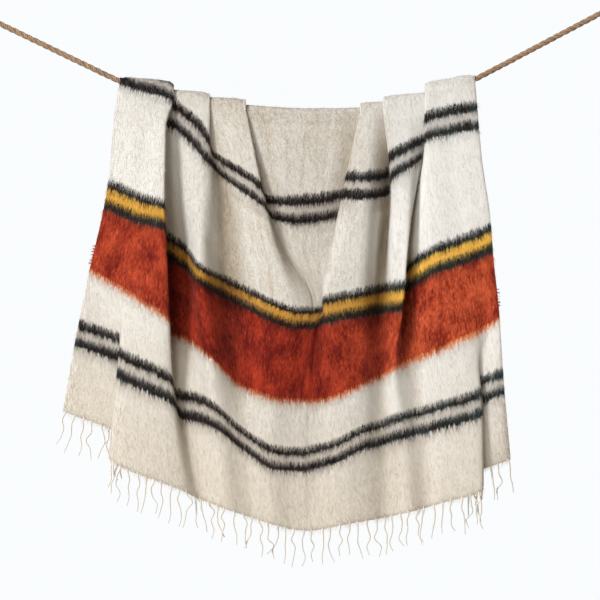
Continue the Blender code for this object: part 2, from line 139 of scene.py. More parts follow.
# The rope's route in the view: across, down
ROPE_ROUTE = (
    (-6.0, 20.8), (0.0, 23.7), (30.0, 38.1), (60.0, 52.6), (90.0, 67.0),
    (120.0, 81.2), (140.0, 88.9), (160.0, 94.9), (185.0, 100.8), (210.0, 105.5),
    (240.0, 109.9), (270.0, 112.6), (300.0, 114.2), (325.0, 114.6), (350.0, 113.8),
    (375.0, 111.0), (400.0, 106.6), (425.0, 100.2), (450.0, 90.9), (475.0, 79.2),
    (500.0, 66.2), (530.0, 50.4), (565.0, 31.9), (600.0, 13.4), (606.0, 10.2),
)

# One row for each fold line, from the left edge to the right edge. The seven columns are the rope's top,
# then the threads in THREADS. "across" and "down" are places in the view, in pixels. "out" is how far the
# line stands in front of the rope's middle at the six threads, in millimetres. "back" is how far it stands
# behind it there.
Fold = namedtuple("Fold", "name across down out back")
FOLDS = (
    Fold("left_edge", (120, 115, 109, 104, 90, 77, 63),
         (79, 110, 180, 209, 270, 333, 411), (24, 24, 22, 18, 18, 16), 34),
    Fold("strip_valley", (140, 137, 133, 129, 114, 133, 128),
         (79, 117, 190, 219, 284, 355, 440), (34, 42, 42, 36, 26, 22), 44),
    Fold("strip_ridge", (154, 148, 144, 141, 127, 119, 110),
         (80, 120, 195, 224, 292, 362, 457), (38, 50, 52, 50, 48, 48), 36),
    Fold("a_ridge", (174, 166, 165, 166, 170, 172, 183),
         (84, 128, 203, 232, 320, 388, 490), (46, 66, 70, 74, 62, 50), 48),
    Fold("a_b_valley", (157, 151, 151, 153, 161, 177, 200),
         (90, 147, 220, 249, 331, 403, 499), (8, 9, 9, 16, 26, 28), 8),
    Fold("b_foot", (180, 176, 184, 186, 190, 200, 214),
         (91, 158, 243, 270, 340, 408, 504), (12, 8, 10, 20, 32, 34), 30),
    Fold("b_ridge", (210, 206, 202, 203, 210, 216, 228),
         (94, 190, 265, 286, 356, 415, 509), (36, 58, 64, 64, 54, 46), 44),
    Fold("b_c_valley", (194, 224, 227, 229, 238, 243, 252),
         (97, 201, 277, 300, 384, 438, 517), (8, 8, 16, 40, 44, 38), 6),
    Fold("c_ridge", (246, 272, 290, 285, 272, 271, 274),
         (100, 236, 306, 326, 397, 456, 524), (42, 55, 65, 61, 54, 46), 46),
    Fold("c_d_valley", (231, 280, 310, 305, 292, 289, 289),
         (103, 243, 308, 329, 400, 459, 528), (16, 45, 60, 57, 48, 40), 8),
    Fold("d_middle", (300, 303, 317, 313, 305, 303, 304),
         (109, 248, 308, 329, 400, 459, 530), (8, 36, 56, 54, 45, 37), 12),
    Fold("d_e_valley", (374, 347, 330, 319, 317, 317, 319),
         (107, 236, 302, 326, 400, 456, 529), (12, 30, 50, 53, 46, 40), 8),
    Fold("e_ridge", (360, 336, 323, 328, 338, 338, 338),
         (104, 226, 297, 323, 395, 449, 525), (50, 78, 76, 66, 57, 50), 46),
    Fold("e_crest", (370, 366, 362, 360, 362, 364, 366),
         (103, 225, 289, 317, 384, 436, 520), (64, 80, 78, 68, 56, 46), 36),
    Fold("e_f_valley", (397, 388, 381, 380, 380, 382, 386),
         (101, 219, 285, 314, 376, 432, 517), (4, 28, 42, 46, 38, 32), 8),
    Fold("f_left", (383, 392, 391, 390, 388, 392, 398),
         (97, 208, 283, 312, 372, 428, 514), (40, 41, 49, 50, 43, 37), 42),
    Fold("f_ridge", (405, 409, 404, 401, 394, 402, 410),
         (95, 197, 281, 311, 368, 425, 511), (52, 66, 70, 64, 52, 46), 40),
    Fold("f_g_valley", (441, 419, 400, 399, 408, 418, 426),
         (92, 181, 271, 299, 362, 421, 507), (14, 12, 22, 42, 40, 36), 6),
    Fold("g_ridge", (425, 425, 430, 431, 434, 438, 442),
         (84, 170, 247, 275, 351, 415, 502), (36, 48, 52, 56, 52, 48), 46),
    Fold("strip_crest", (446, 452, 462, 465, 471, 480, 482),
         (80, 161, 236, 264, 335, 401, 489), (40, 52, 58, 62, 58, 54), 36),
    Fold("right_valley", (460, 466, 474, 478, 484, 470, 465),
         (77, 158, 231, 259, 328, 396, 478), (42, 54, 58, 54, 44, 36), 40),
    Fold("right_edge", (475, 481, 490, 492, 499, 503, 510),
         (75, 156, 224, 253, 318, 381, 459), (42, 54, 60, 60, 50, 34), 32),
)

# The back of the cloth hangs almost straight, a little within the outline of the front. Each stop is the
# share of the length below the rope, the share of the way out to the back's even spread, and the share of
# the fold's depth
BACK_LEFT = 114.0
BACK_RIGHT = 490.0
BACK_SPREAD = 0.75
BACK_STOPS = ((0.35, 0.5, 0.85), (0.7, 0.85, 1.0), (1.0, 1.0, 0.95))

# Lines on the seen side: ends in the view, half width in pixels, and amount. A crease's amount is its
# height in millimetres, troughs below 0, and a painted shade line's amount is how much painted shade it lays
# on, up to 1
LINE_FADE = 0.7
LINE_TOP = 10 * MM
Line = namedtuple("Line", "start end width amount")
CREASES = (
    Line((228, 120), (262, 236), 6, 2.2),
    Line((176, 160), (186, 262), 5, 2.0),
    Line((205, 215), (216, 268), 5, -2.4),
    Line((238, 245), (268, 300), 8, 2.0),
    Line((322, 120), (318, 190), 11, -1.6),
    Line((282, 120), (286, 200), 10, 1.2),
    Line((351, 250), (341, 305), 6, -2.2),
    Line((352, 320), (352, 400), 9, -1.8),
    Line((300, 330), (298, 395), 8, -1.8),
    Line((236, 320), (248, 380), 8, 2.0),
    Line((499, 285), (504, 458), 12, 9.0),
    Line((412, 300), (420, 365), 8, -2.0),
    Line((455, 300), (460, 360), 8, 1.6),
    Line((225, 420), (238, 500), 9, -1.8),
    Line((345, 430), (352, 515), 10, 1.8),
    Line((205, 430), (214, 490), 8, 1.6),
    Line((300, 440), (305, 520), 10, 1.4),
    Line((400, 430), (414, 500), 9, -1.6),
    Line((100, 300), (92, 400), 7, -1.6),
    Line((150, 250), (146, 300), 6, 1.4),
    Line((136, 130), (132, 180), 6, 1.2),
)
# Painted shade lines: contact shadows beside the overlapping pleat edges
PAINTED_SHADE_LINES = (
    Line((352, 108), (338, 222), 9, 0.75),
    Line((382, 106), (382, 214), 8, 0.85),
    Line((216, 150), (226, 236), 9, 0.40),
    Line((390, 420), (402, 508), 17, 0.35),
)

# Stripes of one half, from the middle of the cloth to the hem: how far each reaches along the warp in
# millimetres, and its dye. STRIPE_EDGE is the width over which one turns into the next
CREAM = (0.838, 0.828, 0.802, 1.0)
GAP_CREAM = (0.68, 0.65, 0.63, 1.0)
# Painted shade of the cream towards the hem
HEM_SHADE_CREAM = (0.72, 0.63, 0.51, 1.0)
CHARCOAL = (0.018, 0.014, 0.012, 1.0)
YELLOW = (0.92, 0.540, 0.090, 1.0)
RUST = (0.430, 0.042, 0.013, 1.0)
BLEED = (0.80, 0.27, 0.09, 1.0)
STRIPES = (
    (8.0, GAP_CREAM), (32.0, CHARCOAL), (253, CREAM), (271, CHARCOAL), (286.5, YELLOW), (308, CHARCOAL),
    (456, RUST), (463, BLEED), (567, CREAM), (588, CHARCOAL), (602, GAP_CREAM), (625, CHARCOAL), (760, CREAM),
)
STRIPE_EDGE = 3.6
BORDERS = tuple(reach * MM for reach, _ in STRIPES)

# The middle of the width gets painted shade, darker and warmer than the side panels. Each pair is where that
# starts and is whole, as shares of the width, and the dyes are what it does to the cream, to the yellow and to
# the rust. Its share at the left selvedge is given on its own. Wool deep in a fold gets painted shade, darker
# and warmer
MIDDLE_SHADE_FROM = (0.13, 0.18)
MIDDLE_SHADE_TO = (0.84, 0.60)
MIDDLE_SHADE_LEAST = 0.6
MIDDLE_SHADE_CREAM = (0.86, 0.835, 0.80, 1.0)
MIDDLE_SHADE_YELLOW = (0.66, 0.56, 0.50, 1.0)
MIDDLE_SHADE_RUST = (0.62, 0.32, 0.30, 1.0)
FOLD_SHADE_DYE = (0.56, 0.49, 0.40, 1.0)

# A stripe is told by its own dye: pale by its blue, black by its red, rusty by its green
PALE_BLUES = (0.05, 0.5)
BLACK_REDS = (0.20, 0.04)
RUSTY_GREENS = (0.30, 0.12)

# A noise over a flat place: its scales across and along, its detail and its roughness
Noise = namedtuple("Noise", "scales detail roughness", defaults=(2.0, 0.5))
EDGE_TEETH = Noise((360.0, 42.0), 4.0, 0.72)
EDGE_WANDER = Noise((14.0, 5.0), 1.0)
EDGE_WANDER_REACH = 0.006
WOOL_TEETH_REACH = 0.034
HAIR_TEETH_REACH = 0.026

# Curls of the rust wool and relief of the brushed pile, as sums of noises with their weights. The curls are
# painted light and shade: the rust times a lit and a shaded tint, mixed between the curl values
CURLS = (
    (Noise((300.0, 95.0), 3.0, 0.6), 0.42), (Noise((120.0, 40.0), 2.0, 0.6), 0.2),
    (Noise((24.0, 15.0)), 0.38),
)
CURL_VALUES = (0.42, 0.59)
LIT_CURL = (1.62, 2.8, 3.2, 1.0)
SHADED_CURL = (0.50, 0.28, 0.27, 1.0)
RELIEF = (
    (Noise((460.0, 90.0), 3.0, 0.6), 0.3), (Noise((300.0, 190.0), 2.0, 0.6), 0.45),
    (Noise((60.0, 40.0)), 0.35),
)

# Tints laid over the stripes: the values of a noise, or the lengths of warp, between which each comes in, its
# shares at both, and its dye
Tint = namedtuple("Tint", "values shares dye")
# The hem tint is painted shade: the cream darker and warmer towards the hem
HEM_SHADE_TINT = Tint((0.42, 0.74), (0.0, 0.62), HEM_SHADE_CREAM)
STREAKS = Noise((170.0, 16.0), 3.0, 0.6)
STREAK_TINT = Tint((0.5, 0.72), (0.0, 0.10), (0.62, 0.52, 0.38, 1.0))
PATCHES = Noise((9.0, 6.0))
PATCH_TINT = Tint((0.45, 0.75), (0.0, 0.10), (0.68, 0.62, 0.53, 1.0))
STRAY_HAIRS = Noise((420.0, 60.0), 2.0, 0.6)
FLECKS = Noise((24.0, 60.0))
FLECK_VALUES = (0.44, 0.66)
HAIR_ON_BLACK = Tint((0.52, 0.70), (0.0, 0.34), (0.42, 0.39, 0.36, 1.0))
HAIR_ON_DYE = Tint((0.62, 0.78), (0.0, 0.16), (0.62, 0.42, 0.30, 1.0))
HAIR_ON_CREAM = Tint((0.30, 0.42), (0.09, 0.0), (0.42, 0.36, 0.29, 1.0))

# Worn cream: most in the middle of the width and above the rust stripe's lower edge. WORN_FROM and WORN_TO are
# shares of the width, WORN_LENGTHS are lengths of warp from the middle, with how worn the wool is at both in
# WORN_LENGTH_SHARES, and WORN_SHARES is how worn it is at the least and at the most
WORN_WOOL = ((Noise((70.0, 8.0), 3.0, 0.6), 0.45), (Noise((250.0, 200.0), 2.0, 0.6), 0.55))
WORN_FROM = (0.28, 0.36)
WORN_TO = (0.72, 0.62)
WORN_LENGTHS = (0.30, 0.42)
WORN_LENGTH_SHARES = (1.0, 0.2)
WORN_SHARES = (0.12, 0.85)
WORN_TINT = Tint((0.44, 0.60), (0.0, 0.9), (0.54, 0.47, 0.37, 1.0))

# A finish is the roughness, the sheen and the sheen's roughness, and a relief is its depth and its strength
SPECULAR = 0.25
PAPER_FINISH = (0.9, 0.0, 0.5)
WOOL_FINISH = (0.92, 0.08, 0.5)
WOOL_RELIEF = (1.1 * MM, 0.7)
HAIR_FINISH = (0.88, 0.04, 0.4)
YARN_FINISH = (0.9, 0.3, 0.4)
YARN_RELIEF = (0.4 * MM, 0.6)
JUTE_FINISH = (0.8, 0.15, 0.5)
JUTE_RELIEF = (0.9 * MM, 0.9)

# Pale and dark dyes of the fringe, the rope and the twine, and what their colours and reliefs are drawn from
YARN_DYES = ((0.95, 0.91, 0.84, 1.0), (0.87, 0.80, 0.71, 1.0))
JUTE_DYES = ((0.57, 0.375, 0.235, 1.0), (0.25, 0.15, 0.085, 1.0))
TWINE_DYES = ((0.44, 0.28, 0.165, 1.0), (0.17, 0.10, 0.05, 1.0))
YARN_TONE = Noise((3.0, 160.0), 3.0, 0.6)
YARN_TONES = (0.4, 0.7)
YARN_TURNS = 4.0 * math.pi
YARN_SLANT = 2600.0
JUTE_FIBRES = Noise((9.0, 60.0), 4.0, 0.65)
JUTE_FIBRE_VALUES = (0.3, 0.7)
JUTE_PATCHES = Noise((1.0, 28.0))
JUTE_PATCH_TONE = 0.5
JUTE_TONES = (0.35, 1.1)
JUTE_SLANT = -38.0
JUTE_YARNS = 5
# Painted shade in the grooves between the yarns of a strand
JUTE_GROOVE_SHADE = -0.12
JUTE_YARN_HEIGHT = 0.5

# Loose hairs. A row has how many are drawn and from which seed, the lengths of hang between which they are
# rooted, their lengths in millimetres, how far they lift off the cloth and how far they spread to the sides
# in degrees, whether they stand on the outer face, and whether they gather at the borders of the stripes
Hairs = namedtuple("Hairs", "name count seed lowest highest lengths lift spread outer at_borders",
                   defaults=(True, False))
LYING = ((9.0, 17.0), (2.0, 26.0), 14.0)
STANDING = ((4.0, 9.0), (12.0, 78.0), 55.0)
HAIR_PIECES = (
    Hairs("hairs_front_upper", 50000, 21, 0.0, 0.42, *LYING),
    Hairs("hairs_front_lower", 52000, 22, 0.42, 1.2, *LYING),
    Hairs("hairs_front_stripes", 46000, 25, 0.0, 1.2, (8.0, 20.0), (2.0, 26.0), 16.0, at_borders=True),
    Hairs("hairs_front_standing", 26000, 26, 0.0, 1.2, *STANDING),
    Hairs("hairs_crown", 5000, 28, -0.012, 0.02, (4.0, 9.0), (12.0, 78.0), 60.0),
    Hairs("hairs_back", 20000, 23, -1.2, 0.0, *LYING),
    Hairs("hairs_back_standing", 6000, 27, -1.2, 0.0, *STANDING),
    Hairs("hairs_between", 5000, 24, -1.2, 1.2, *LYING, outer=False),
)
HAIR_CORNERS = 5
HAIR_WIDTHS = (0.28, 0.50)
HAIR_WAIST = 0.42
HAIR_BEND = 15
HAIR_BEND_SHARE = 0.25
HAIR_LIFT_POWER = 2.5
HAIR_TIP_LIFT = 0.3
HAIR_ROOT_DEPTH = 0.2 * MM
HAIR_HEM_GAP = 3 * MM
BORDER_REACH = 7 * MM

# Tufts at the selvedges: the column of the grid, the lengths of warp between which they stand, how many,
# and the seed. Lengths, curl radii and offsets are in millimetres, turns are whole turns
Tufts = namedtuple("Tufts", "name column first last count seed")
TUFT_PIECES = (
    Tufts("left_selvedge_tufts", 0, 0.397, 0.45, 46, 117),
    Tufts("right_selvedge_tufts", -1, 0.388, 0.432, 34, 105),
)
TUFT_LENGTHS = (4, 9)
TUFT_CURLS = (0.9, 2.2)
TUFT_TURNS = (0.4, 1.3)
TUFT_STEPS = 9
TUFT_SIDES = 4
TUFT_RADIUS = 0.42 * MM
TUFT_TAPER = 0.5
TUFT_DEPTH = 0.6
TUFT_SAG = 0.5
TUFT_ROOT = 1.5
TUFT_OFFSET = 0.8

# Warp ends: the side, the grid's rows at the hem and just inside it, and the seed. YARN_PLACE is how far each
# strays from its even place, as a share of the spacing. YARN_WAVES are its waves across and in depth, in
# millimetres, as YARN_LEAN is, and CROSSING_SHARE is the share that leans back over the one before it
Fringe = namedtuple("Fringe", "side hem inside seed")
FRINGES = (Fringe("front", -1, -2, 60), Fringe("back", 0, 1, 61))
YARN_SPACING = 20 * MM
YARN_PLACE = 0.22
YARN_LENGTH = 84 * MM
YARN_LENGTH_SHARES = (0.84, 1.04)
YARN_RADIUS = 1.65 * MM
YARN_ROOT = 5 * MM
YARN_STOPS = np.array([0.0, 0.1, 0.3, 0.52, 0.76, 1.0])
YARN_STEPS = 34
YARN_SIDES = 5
YARN_WAVES = np.array([3.6, 1.5])
YARN_TIP_WAVE = 1.5
YARN_LEAN = 4.5
YARN_SIDE_STEP = 1.8 * MM
YARN_TAPER = 0.45
CROSSING_SHARE = 0.42
CROSSING_BACK = 0.9
CROSSING_MORE = (3, 9)
PLY_LAY = 9 * MM
PLY_OFFSET = 0.75
BOW_SHARE = 0.06
BOW_LEFT = 20 * MM
BOW_RIGHT = 10 * MM


def seen(across, down):
    """X and Z of a place in the reference view."""
    return MIDDLE_X + (across - VIEW_MIDDLE) * PIXEL, FOOT_Z + (VIEW_BOTTOM - down) * PIXEL


def walked_along(points):
    """Distance along a line of points."""
    return np.concatenate([[0.0], np.cumsum(np.linalg.norm(np.diff(points, axis=0), axis=1))])


def smooth_curve(places, values, wanted):
    """The curve through the values at the places that doesn't overshoot them, read at the wanted places."""
    places = np.asarray(places, float)
    values = np.asarray(values, float)
    steps = np.diff(places)
    rises = np.diff(values, axis=0) / steps[:, None]
    slopes = np.zeros_like(values)
    slopes[0] = rises[0]
    slopes[-1] = rises[-1]
    for i in range(1, len(places) - 1):
        before, after = rises[i - 1], rises[i]
        weight_a = 2 * steps[i] + steps[i - 1]
        weight_b = steps[i] + 2 * steps[i - 1]
        same_way = before * after > 0
        safe_before = np.where(same_way, before, 1.0)
        safe_after = np.where(same_way, after, 1.0)
        mean = (weight_a + weight_b) / (weight_a / safe_before + weight_b / safe_after)
        slopes[i] = np.where(same_way, mean, 0.0)
    wanted = np.clip(np.asarray(wanted, float), places[0], places[-1])
    at = np.clip(np.searchsorted(places, wanted, side="right") - 1, 0, len(places) - 2)
    step = (places[at + 1] - places[at])[:, None]
    t = (wanted - places[at])[:, None] / step
    return (
        (1 + 2 * t) * (1 - t) ** 2 * values[at]
        + t * (1 - t) ** 2 * step * slopes[at]
        + t**2 * (3 - 2 * t) * values[at + 1]
        + t**2 * (t - 1) * step * slopes[at + 1]
    )


def uneven(across, along, size_across, size_along, seed):
    """Smooth unevenness from -1 to 1 over a sheet, with patches of the given sizes."""
    a = across / size_across
    b = along / size_along
    a = a - a.min()
    b = b - b.min()
    values = np.random.RandomState(seed).uniform(-1, 1, (int(a.max()) + 3, int(b.max()) + 3))
    i, j = a.astype(int), b.astype(int)
    s, t = a - i, b - j
    s, t = s * s * (3 - 2 * s), t * t * (3 - 2 * t)
    near = values[i, j] * (1 - s) + values[i + 1, j] * s
    far = values[i, j + 1] * (1 - s) + values[i + 1, j + 1] * s
    return near * (1 - t) + far * t


def new_object(name, shape, material):
    """A named object with its own mesh, from vertices, faces, UV pairs and maybe painted fold shades."""
    vertices, faces, uv, *fold_shades = shape
    mesh = bpy.data.meshes.new(name)
    mesh.from_pydata(np.asarray(vertices).tolist(), [], [tuple(face) for face in faces])
    mesh.materials.append(material)
    mesh.shade_smooth()
    layer = mesh.uv_layers.new(name="flat")
    corners = np.empty(len(mesh.loops), dtype=np.int32)
    mesh.loops.foreach_get("vertex_index", corners)
    layer.data.foreach_set("uv", np.asarray(uv, dtype=np.float32)[corners].ravel())
    for fold in fold_shades:
        values = mesh.attributes.new("fold", "FLOAT", "POINT")
        values.data.foreach_set("value", np.asarray(fold, dtype=np.float32))
    made = bpy.data.objects.new(name, mesh)
    bpy.context.scene.collection.objects.link(made)
    return made


def tube(path, radius, sides):
    """Vertices, faces and UV of a closed round tube along a path, with one radius or one for each point."""
    ahead = np.gradient(path, axis=0)
    ahead /= np.linalg.norm(ahead, axis=1, keepdims=True)
    up = np.cross(TOWARDS_VIEW, ahead)
    up[np.linalg.norm(up, axis=1) < 0.1] = UPWARDS
    up /= np.linalg.norm(up, axis=1, keepdims=True)
    side = np.cross(ahead, up)
    angles = 2 * math.pi * np.arange(sides) / sides
    radii = np.broadcast_to(np.asarray(radius, float), (len(path),))
    rings = path[:, None] + radii[:, None, None] * (
        np.cos(angles)[None, :, None] * up[:, None] + np.sin(angles)[None, :, None] * side[:, None]
    )
    count = len(path)
    i, j = np.meshgrid(np.arange(count - 1), np.arange(sides), indexing="ij")
    a = i * sides + j
    b = i * sides + (j + 1) % sides
    faces = np.stack([a, b, b + sides, a + sides], axis=-1).reshape(-1, 4)[:, ::-1].tolist()
    vertices = np.vstack([rings.reshape(-1, 3), path[:1], path[-1:]])
    first, last = count * sides, count * sides + 1
    for j in range(sides):
        k = (j + 1) % sides
        faces.append((first, k, j))
        faces.append((last, (count - 1) * sides + j, (count - 1) * sides + k))
    walked = walked_along(path)
    uv = np.stack([np.tile(np.arange(sides) / sides, count), np.repeat(walked, sides)], axis=1)
    uv = np.vstack([uv, [[0.5, 0.0], [0.5, walked[-1]]]])
    return vertices, faces, uv


def joined(parts):
    """One set of vertices, faces and UV from several."""
    vertices, faces, uv = [], [], []
    base = 0
    for some_vertices, some_faces, some_uv in parts:
        vertices.append(some_vertices)
        faces += [tuple(v + base for v in face) for face in some_faces]
        uv.append(some_uv)
        base += len(some_vertices)
    return np.vstack(vertices), faces, np.vstack(uv)


def add_camera():
    """A long lens straight on, so that the view is 600 of the table's pixels wide at the cloth."""
    data = bpy.data.cameras.new("camera")
    data.sensor_width = SENSOR_WIDTH
    data.lens = data.sensor_width * (CAMERA_DISTANCE - SEEN_DEPTH) / (2 * VIEW_MIDDLE * PIXEL)
    camera = bpy.data.objects.new("camera", data)
    bpy.context.scene.collection.objects.link(camera)
    camera.location = (MIDDLE_X, -CAMERA_DISTANCE, FOOT_Z + VIEW_MIDDLE * PIXEL)
    camera.rotation_euler = (math.pi / 2, 0.0, 0.0)
    bpy.context.scene.camera = camera


def add_lights():
    """Soft studio light: a pale surround, a key from the upper left and a weak fill beside the camera."""
    world = bpy.data.worlds.new("studio")
    world.use_nodes = True
    nodes, links = world.node_tree.nodes, world.node_tree.links
    nodes.clear()
    seen_ground = nodes.new("ShaderNodeBackground")
    seen_ground.inputs["Color"].default_value = SEEN_GROUND
    light_ground = nodes.new("ShaderNodeBackground")
    light_ground.inputs["Color"].default_value = LIGHT_GROUND
    light_ground.inputs["Strength"].default_value = GROUND_STRENGTH
    ray = nodes.new("ShaderNodeLightPath")
    mix = nodes.new("ShaderNodeMixShader")
    out = nodes.new("ShaderNodeOutputWorld")
    links.new(ray.outputs["Is Camera Ray"], mix.inputs[0])
    links.new(light_ground.outputs[0], mix.inputs[1])
    links.new(seen_ground.outputs[0], mix.inputs[2])
    links.new(mix.outputs[0], out.inputs["Surface"])
    bpy.context.scene.world = world
    bpy.context.scene.view_settings.view_transform = "Standard"
    middle = Vector((MIDDLE_X, 0.0, FOOT_Z + LIT_HEIGHT))
    for lamp in LAMPS:
        across, ahead, height = lamp.place
        data = bpy.data.lights.new(lamp.name, "AREA")
        data.shape = "DISK"
        data.size = lamp.size
        data.energy = lamp.power
        data.color = lamp.tint
        made = bpy.data.objects.new(lamp.name, data)
        bpy.context.scene.collection.objects.link(made)
        made.location = (MIDDLE_X + across, ahead, height)
        made.rotation_euler = (middle - Vector(made.location)).to_track_quat("-Z", "Y").to_euler()


def add_floor():
    """A plain pale floor under the throw."""
    bpy.ops.object.select_all(action="DESELECT")
    bpy.ops.mesh.primitive_plane_add(size=FLOOR_SIZE, location=(MIDDLE_X, 0.0, FOOT_Z - FLOOR_DROP))
    floor = bpy.context.object
    floor.name = "floor"
    paper, surface = plain_material("studio paper", PAPER_FINISH)
    surface.inputs["Base Color"].default_value = PAPER
    floor.data.materials.append(paper)


def new_group(name, inputs, outputs):
    """An empty shader group with named sockets. inputs are (name, kind, value), outputs are (name, kind)."""
    group = bpy.data.node_groups.new(name, "ShaderNodeTree")
    for socket, kind, value in inputs:
        made = group.interface.new_socket(name=socket, in_out="INPUT", socket_type=kind)
        if value is not None:
            made.default_value = value
    for socket, kind in outputs:
        group.interface.new_socket(name=socket, in_out="OUTPUT", socket_type=kind)
    start = group.nodes.new("NodeGroupInput")
    end = group.nodes.new("NodeGroupOutput")
    return group, start, end


def group_node(tree, group, place):
    """One node that places a shared group in a material, fed with the flat place."""
    node = tree.nodes.new("ShaderNodeGroup")
    node.node_tree = group
    tree.links.new(place, node.inputs["Flat place"])
    return node


def feed(tree, socket, value):
    """Give an input a number or colour of its own, or link it to another socket."""
    if isinstance(value, (int, float, tuple)):
        socket.default_value = value
    else:
        tree.links.new(value, socket)


def maths(tree, operation, *values):
    """A Math node fed by sockets or numbers."""
    node = tree.nodes.new("ShaderNodeMath")
    node.operation = operation
    for socket, value in zip(node.inputs, values):
        feed(tree, socket, value)
    return node.outputs[0]


def times(tree, first, second):
    """The product of two sockets or numbers."""
    return maths(tree, "MULTIPLY", first, second)


def plus(tree, first, second):
    """The sum of two sockets or numbers."""
    return maths(tree, "ADD", first, second)


def noise_over(tree, place, noise):
    """A noise over a flat place."""
    scaled = tree.nodes.new("ShaderNodeVectorMath")
    scaled.operation = "MULTIPLY"
    scaled.inputs[1].default_value = (*noise.scales, 1.0)
    tree.links.new(place, scaled.inputs[0])
    node = tree.nodes.new("ShaderNodeTexNoise")
    node.inputs["Scale"].default_value = 1.0
    node.inputs["Detail"].default_value = noise.detail
    node.inputs["Roughness"].default_value = noise.roughness
    tree.links.new(scaled.outputs[0], node.inputs["Vector"])
    return node.outputs["Fac"]


def summed_noises(tree, place, weighted):
    """The sum of several noises, each times its weight."""
    parts = [times(tree, noise_over(tree, place, noise), weight) for noise, weight in weighted]
    total = parts[0]
    for part in parts[1:]:
        total = plus(tree, total, part)
    return total


def ramped(tree, value, low, high, bottom=0.0, top=1.0):
    """A value brought from one range to another, kept within it."""
    node = tree.nodes.new("ShaderNodeMapRange")
    node.clamp = True
    tree.links.new(value, node.inputs["Value"])
    for name, number in (("From Min", low), ("From Max", high), ("To Min", bottom), ("To Max", top)):
        node.inputs[name].default_value = number
    return node.outputs["Result"]


def mixed(tree, share, first, second, blend="MIX"):
    """A colour mixed from two sockets or colours."""
    node = tree.nodes.new("ShaderNodeMix")
    node.data_type = "RGBA"
    node.blend_type = blend
    for socket, value in ((node.inputs[0], share), (node.inputs[6], first), (node.inputs[7], second)):
        feed(tree, socket, value)
    return node.outputs[2]


def tinted(tree, colour, value, tint, where):
    """A colour with a tint over it, as far as a value and a share of the place allow."""
    share = times(tree, ramped(tree, value, *tint.values, *tint.shares), where)
    return mixed(tree, share, colour, tint.dye)


def ragged_stripes(tree, place, warp, reach):
    """The dye of the stripe at each length of warp, with ragged and wandering borders."""
    teeth = maths(tree, "SUBTRACT", noise_over(tree, place, EDGE_TEETH), 0.5)
    teeth = times(tree, teeth, reach)
    wander = maths(tree, "SUBTRACT", noise_over(tree, place, EDGE_WANDER), 0.5)
    edge = plus(tree, plus(tree, warp, teeth), times(tree, wander, EDGE_WANDER_REACH))
    ramp = tree.nodes.new("ShaderNodeValToRGB")
    tree.links.new(maths(tree, "DIVIDE", edge, HEM), ramp.inputs["Fac"])
    stops = ramp.color_ramp.elements
    for stop, place_along, (_, dye) in zip(stops, (0.0, 1.0), (STRIPES[0], STRIPES[-1])):
        stop.position = place_along
        stop.color = dye
    half = STRIPE_EDGE / 2
    for (reach_along, dye), (_, next_dye) in zip(STRIPES, STRIPES[1:]):
        stops.new((reach_along - half) * MM / HEM).color = dye
        stops.new((reach_along + half) * MM / HEM).color = next_dye
    return ramp.outputs["Color"]


